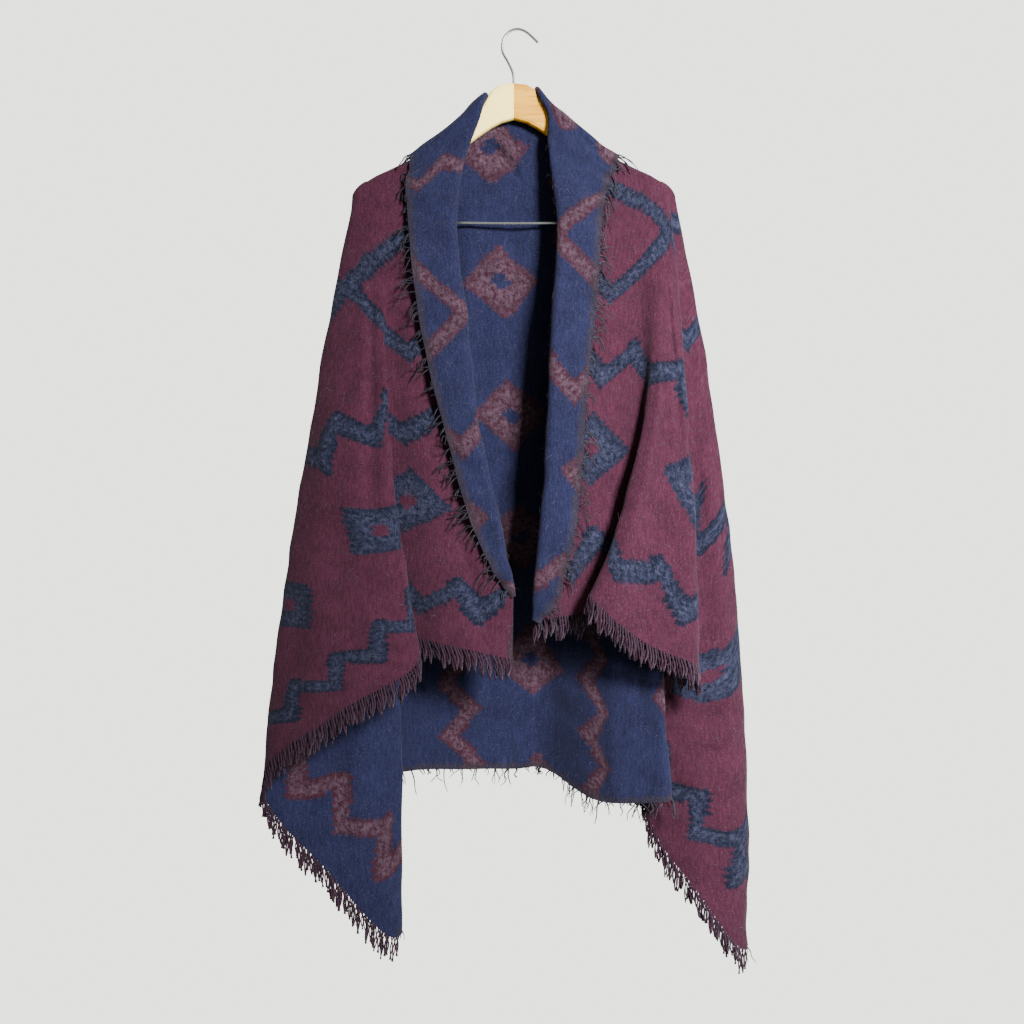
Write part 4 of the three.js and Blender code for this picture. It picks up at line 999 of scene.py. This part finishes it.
# The fringe of the long edges
# Beyond the grey selvedge the outermost yarns were cut and left. Felting has curled them into thin dark
# tufts of up to three yarns, up to 40 mm long and about a finger's width apart, no two of them alike.
TUFT_SPACING = 0.0115
TUFT_LENGTH = 0.026
TUFT_YARN = 0.00105
TUFT_MOST = 3
TUFT_KEPT = 0.8
TUFT_POINTS = 9
TUFT_CURL = (0.001, 0.0045)
TUFT_GREY = (0.019, 0.016, 0.024, 1)
TUFT_DARK = (0.005, 0.005, 0.009, 1)


def curled_tufts(roots, out, face, fall):
    """Yarns in tufts of up to three, which share a root and a length but not their curl: a helix about a
    hanging path, whose radius grows from the root as the square root of the share."""
    tuft = np.repeat(np.arange(len(roots)), TUFT_MOST)
    tuft = tuft[chance.uniform(0, 1, len(tuft)) < TUFT_KEPT]
    many = len(tuft)
    length = (TUFT_LENGTH * chance.uniform(0.3, 1.4, len(roots)))[tuft] * chance.uniform(0.8, 1.1, many)
    lean = unit(out[tuft] + chance.normal(0, 0.42, (many, 3)) * np.array([1, 0.4, 1]))
    slump = np.clip(fall + chance.uniform(-0.35, 0.25, len(roots))[tuft], 0, 1)
    middle = hanging_paths(roots[tuft] - out[tuft] * ROOT_INSIDE, lean, length, slump, TUFT_POINTS)
    share = np.linspace(0, 1, TUFT_POINTS)
    turns = chance.uniform(0.3, 1.5, many)[:, None] * chance.choice([-1, 1], many)[:, None]
    angle = (turns * 2 * np.pi * share + chance.uniform(0, 6.3, many)[:, None])[:, :, None]
    wide = (chance.uniform(*TUFT_CURL, many)[:, None] * np.sqrt(share))[:, :, None]
    side = unit(np.cross(out, face))[tuft][:, None]
    return middle + wide * (np.cos(angle) * side + 0.5 * np.sin(angle) * face[tuft][:, None])


tuft_yarn = yarn("tuft_yarn", TUFT_GREY, TUFT_DARK)


def tufted_edge(name, line, out, face, fall, nodes):
    """The tufts of one edge, joined into a piece that takes the place of the named solids."""
    paths = curled_tufts(*edge_roots(line, out, face, TUFT_SPACING), fall)
    taper = np.linspace(1.1, 0.55, paths.shape[1])[None, :]
    radii = TUFT_YARN * chance.uniform(0.7, 1.25, (len(paths), 1)) * taper
    piece = yarn_tubes(name, paths, radii, tuft_yarn)
    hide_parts(*nodes)
    return piece


collar_shown = collar_points + collar_normals * collar_rise[..., None]
rim = collar_shown[:, -1]
hem_fringe = tufted_edge(
    "fringe_hem", *lower_edge(7, 21), 0.5, ["fringe_hem_left", "fringe_hem_back", "fringe_hem_right"]
)
collar_fringe = tufted_edge(
    "fringe_collar", rim, rim - collar_shown[:, -3], collar_normals[:, -1], 0.75,
    ["fringe_lapel_left", "fringe_collar_back", "fringe_lapel_right"],
)

# Loose hairs
# Brushed wool sheds: single hairs of either yarn, 5 to 13 mm long, lie on the felt or stand a little off
# it all over the cloth, some of them pale as dust. The felt itself holds them.
HAIRS_ON_CLOTH = 6800
HAIRS_ON_COLLAR = 1200
HAIR_LENGTH = 0.009
HAIR_THICK = 0.00013
HAIR_PALE = (0.100, 0.095, 0.125, 1)
HAIR_DARK = (0.016, 0.012, 0.022, 1)


def loose_hairs(points, normals, count):
    """Bent hairs of three points on either face of a grid, as many to each cell as its area asks for: from
    a root on the felt they run along it, bow sideways by a fifth, and lift by up to 2 mm."""
    cells = np.cross(np.diff(points, axis=0)[:, :-1], np.diff(points, axis=1)[:-1])
    cells = np.linalg.norm(cells, axis=-1)
    cell = chance.choice(cells.size, count, p=(cells / cells.sum()).reshape(-1))
    i, j = np.unravel_index(cell, cells.shape)
    face = normals[i, j] * chance.choice([-1, 1], count)[:, None]
    shift = chance.uniform(0, 1, (count, 1))
    root = points[i, j] * (1 - shift) + points[i + 1, j + 1] * shift + face * (WALL / 2)
    lie = unit(np.cross(face, chance.normal(0, 1, (count, 3))))
    bow = np.cross(face, lie) * chance.normal(0, 0.2, (count, 1))
    length = (HAIR_LENGTH * chance.uniform(0.5, 1.5, count))[:, None]
    lift = face * chance.uniform(0.0002, 0.0022, (count, 1))
    middle = root + (lie * 0.5 + bow) * length + lift * 0.6
    return np.stack([root, middle, root + lie * length + lift], axis=1)


on_cloth = loose_hairs(cloth_shown, cloth_normals, HAIRS_ON_CLOTH)
on_collar = loose_hairs(collar_shown, collar_normals, HAIRS_ON_COLLAR)
hairs = np.concatenate([on_cloth, on_collar])
hair_radii = HAIR_THICK * chance.uniform(0.6, 1.3, (len(hairs), 1)) * np.array([[1, 1, 0.5]])
yarn_tubes("loose_hairs", hairs, hair_radii, yarn("hair", HAIR_PALE, HAIR_DARK))

# The camera
# It stands two metres before the hanger's plane, level, at the height of the middle of the photograph.
# Its lens takes in what the photograph shows, and it has no depth of field.
camera_data = bpy.data.cameras.new("camera")
camera_data.sensor_width = 36
camera_data.lens = 50.6
camera = bpy.data.objects.new("camera", camera_data)
camera.location = (EYE_ACROSS / 1000, -2.0, -EYE_DOWN / 1000)
camera.rotation_euler = (np.pi / 2, 0, 0)
bpy.context.collection.objects.link(camera)
bpy.context.scene.camera = camera

# The floor and the light
# A pale round floor lies well below the hem. One soft lamp stands before the wrap on the right, and the
# surround is pale: brighter to the right, and much brighter behind the wrap than before it.
FLOOR_RADIUS = 1.5
FLOOR_HEIGHT = -2.0
FLOOR_SIDES = 64
ROOM_LEVEL = 0.8
ROOM_SLANT = 0.75
BEHIND_LEVEL = 3.9


def floor_disc():
    """A flat disc of many sides round the wrap's middle: the cosine and sine of a full turn."""
    turn = np.linspace(0, 2 * np.pi, FLOOR_SIDES + 1)[:-1]
    height = np.full(FLOOR_SIDES, FLOOR_HEIGHT)
    ring = np.stack([FLOOR_RADIUS * np.cos(turn), FLOOR_RADIUS * np.sin(turn), height], axis=-1)
    mesh = bpy.data.meshes.new("floor")
    mesh.from_pydata(ring.tolist(), [], [list(range(FLOOR_SIDES))])
    made, tree, shader = material("floor")
    fill(tree, shader, {"Base Color": (0.72, 0.73, 0.70, 1), "Roughness": 0.9})
    mesh.materials.append(made)
    disc = bpy.data.objects.new("floor", mesh)
    bpy.context.collection.objects.link(disc)
    return disc


def soft_lamp(name, place, aim, size, power, spread):
    """A square area lamp that faces a point. A narrow spread keeps its light close to that way."""
    data = bpy.data.lights.new(name, "AREA")
    data.size = size
    data.energy = power
    data.spread = spread
    lamp = bpy.data.objects.new(name, data)
    lamp.location = place
    way = Vector(aim) - Vector(place)
    lamp.rotation_euler = way.to_track_quat("-Z", "Y").to_euler()
    bpy.context.collection.objects.link(lamp)


floor_disc()
soft_lamp("key", (1.25, -2.55, 0.35), (0.9, 0, -0.5), 0.6, 98, 1.22)
surround = bpy.data.worlds.new("surround")
surround.use_nodes = True
sky = surround.node_tree
facing = new_node(sky, "TexCoord", {}).outputs["Generated"]
facing = new_node(sky, "SeparateXYZ", {"Vector": facing}).outputs
room = calculate(sky, "MULTIPLY_ADD", facing["X"], ROOM_SLANT, ROOM_LEVEL)
behind = new_node(sky, "MapRange", {"Value": facing["Y"], "From Min": -0.1, "From Max": 0.7})
behind.interpolation_type = "SMOOTHSTEP"
fill(sky, behind, {"To Min": room, "To Max": BEHIND_LEVEL})
level = behind.outputs["Result"]
fill(sky, sky.nodes["Background"], {"Color": (0.66, 0.68, 0.63, 1), "Strength": level})
bpy.context.scene.world = surround
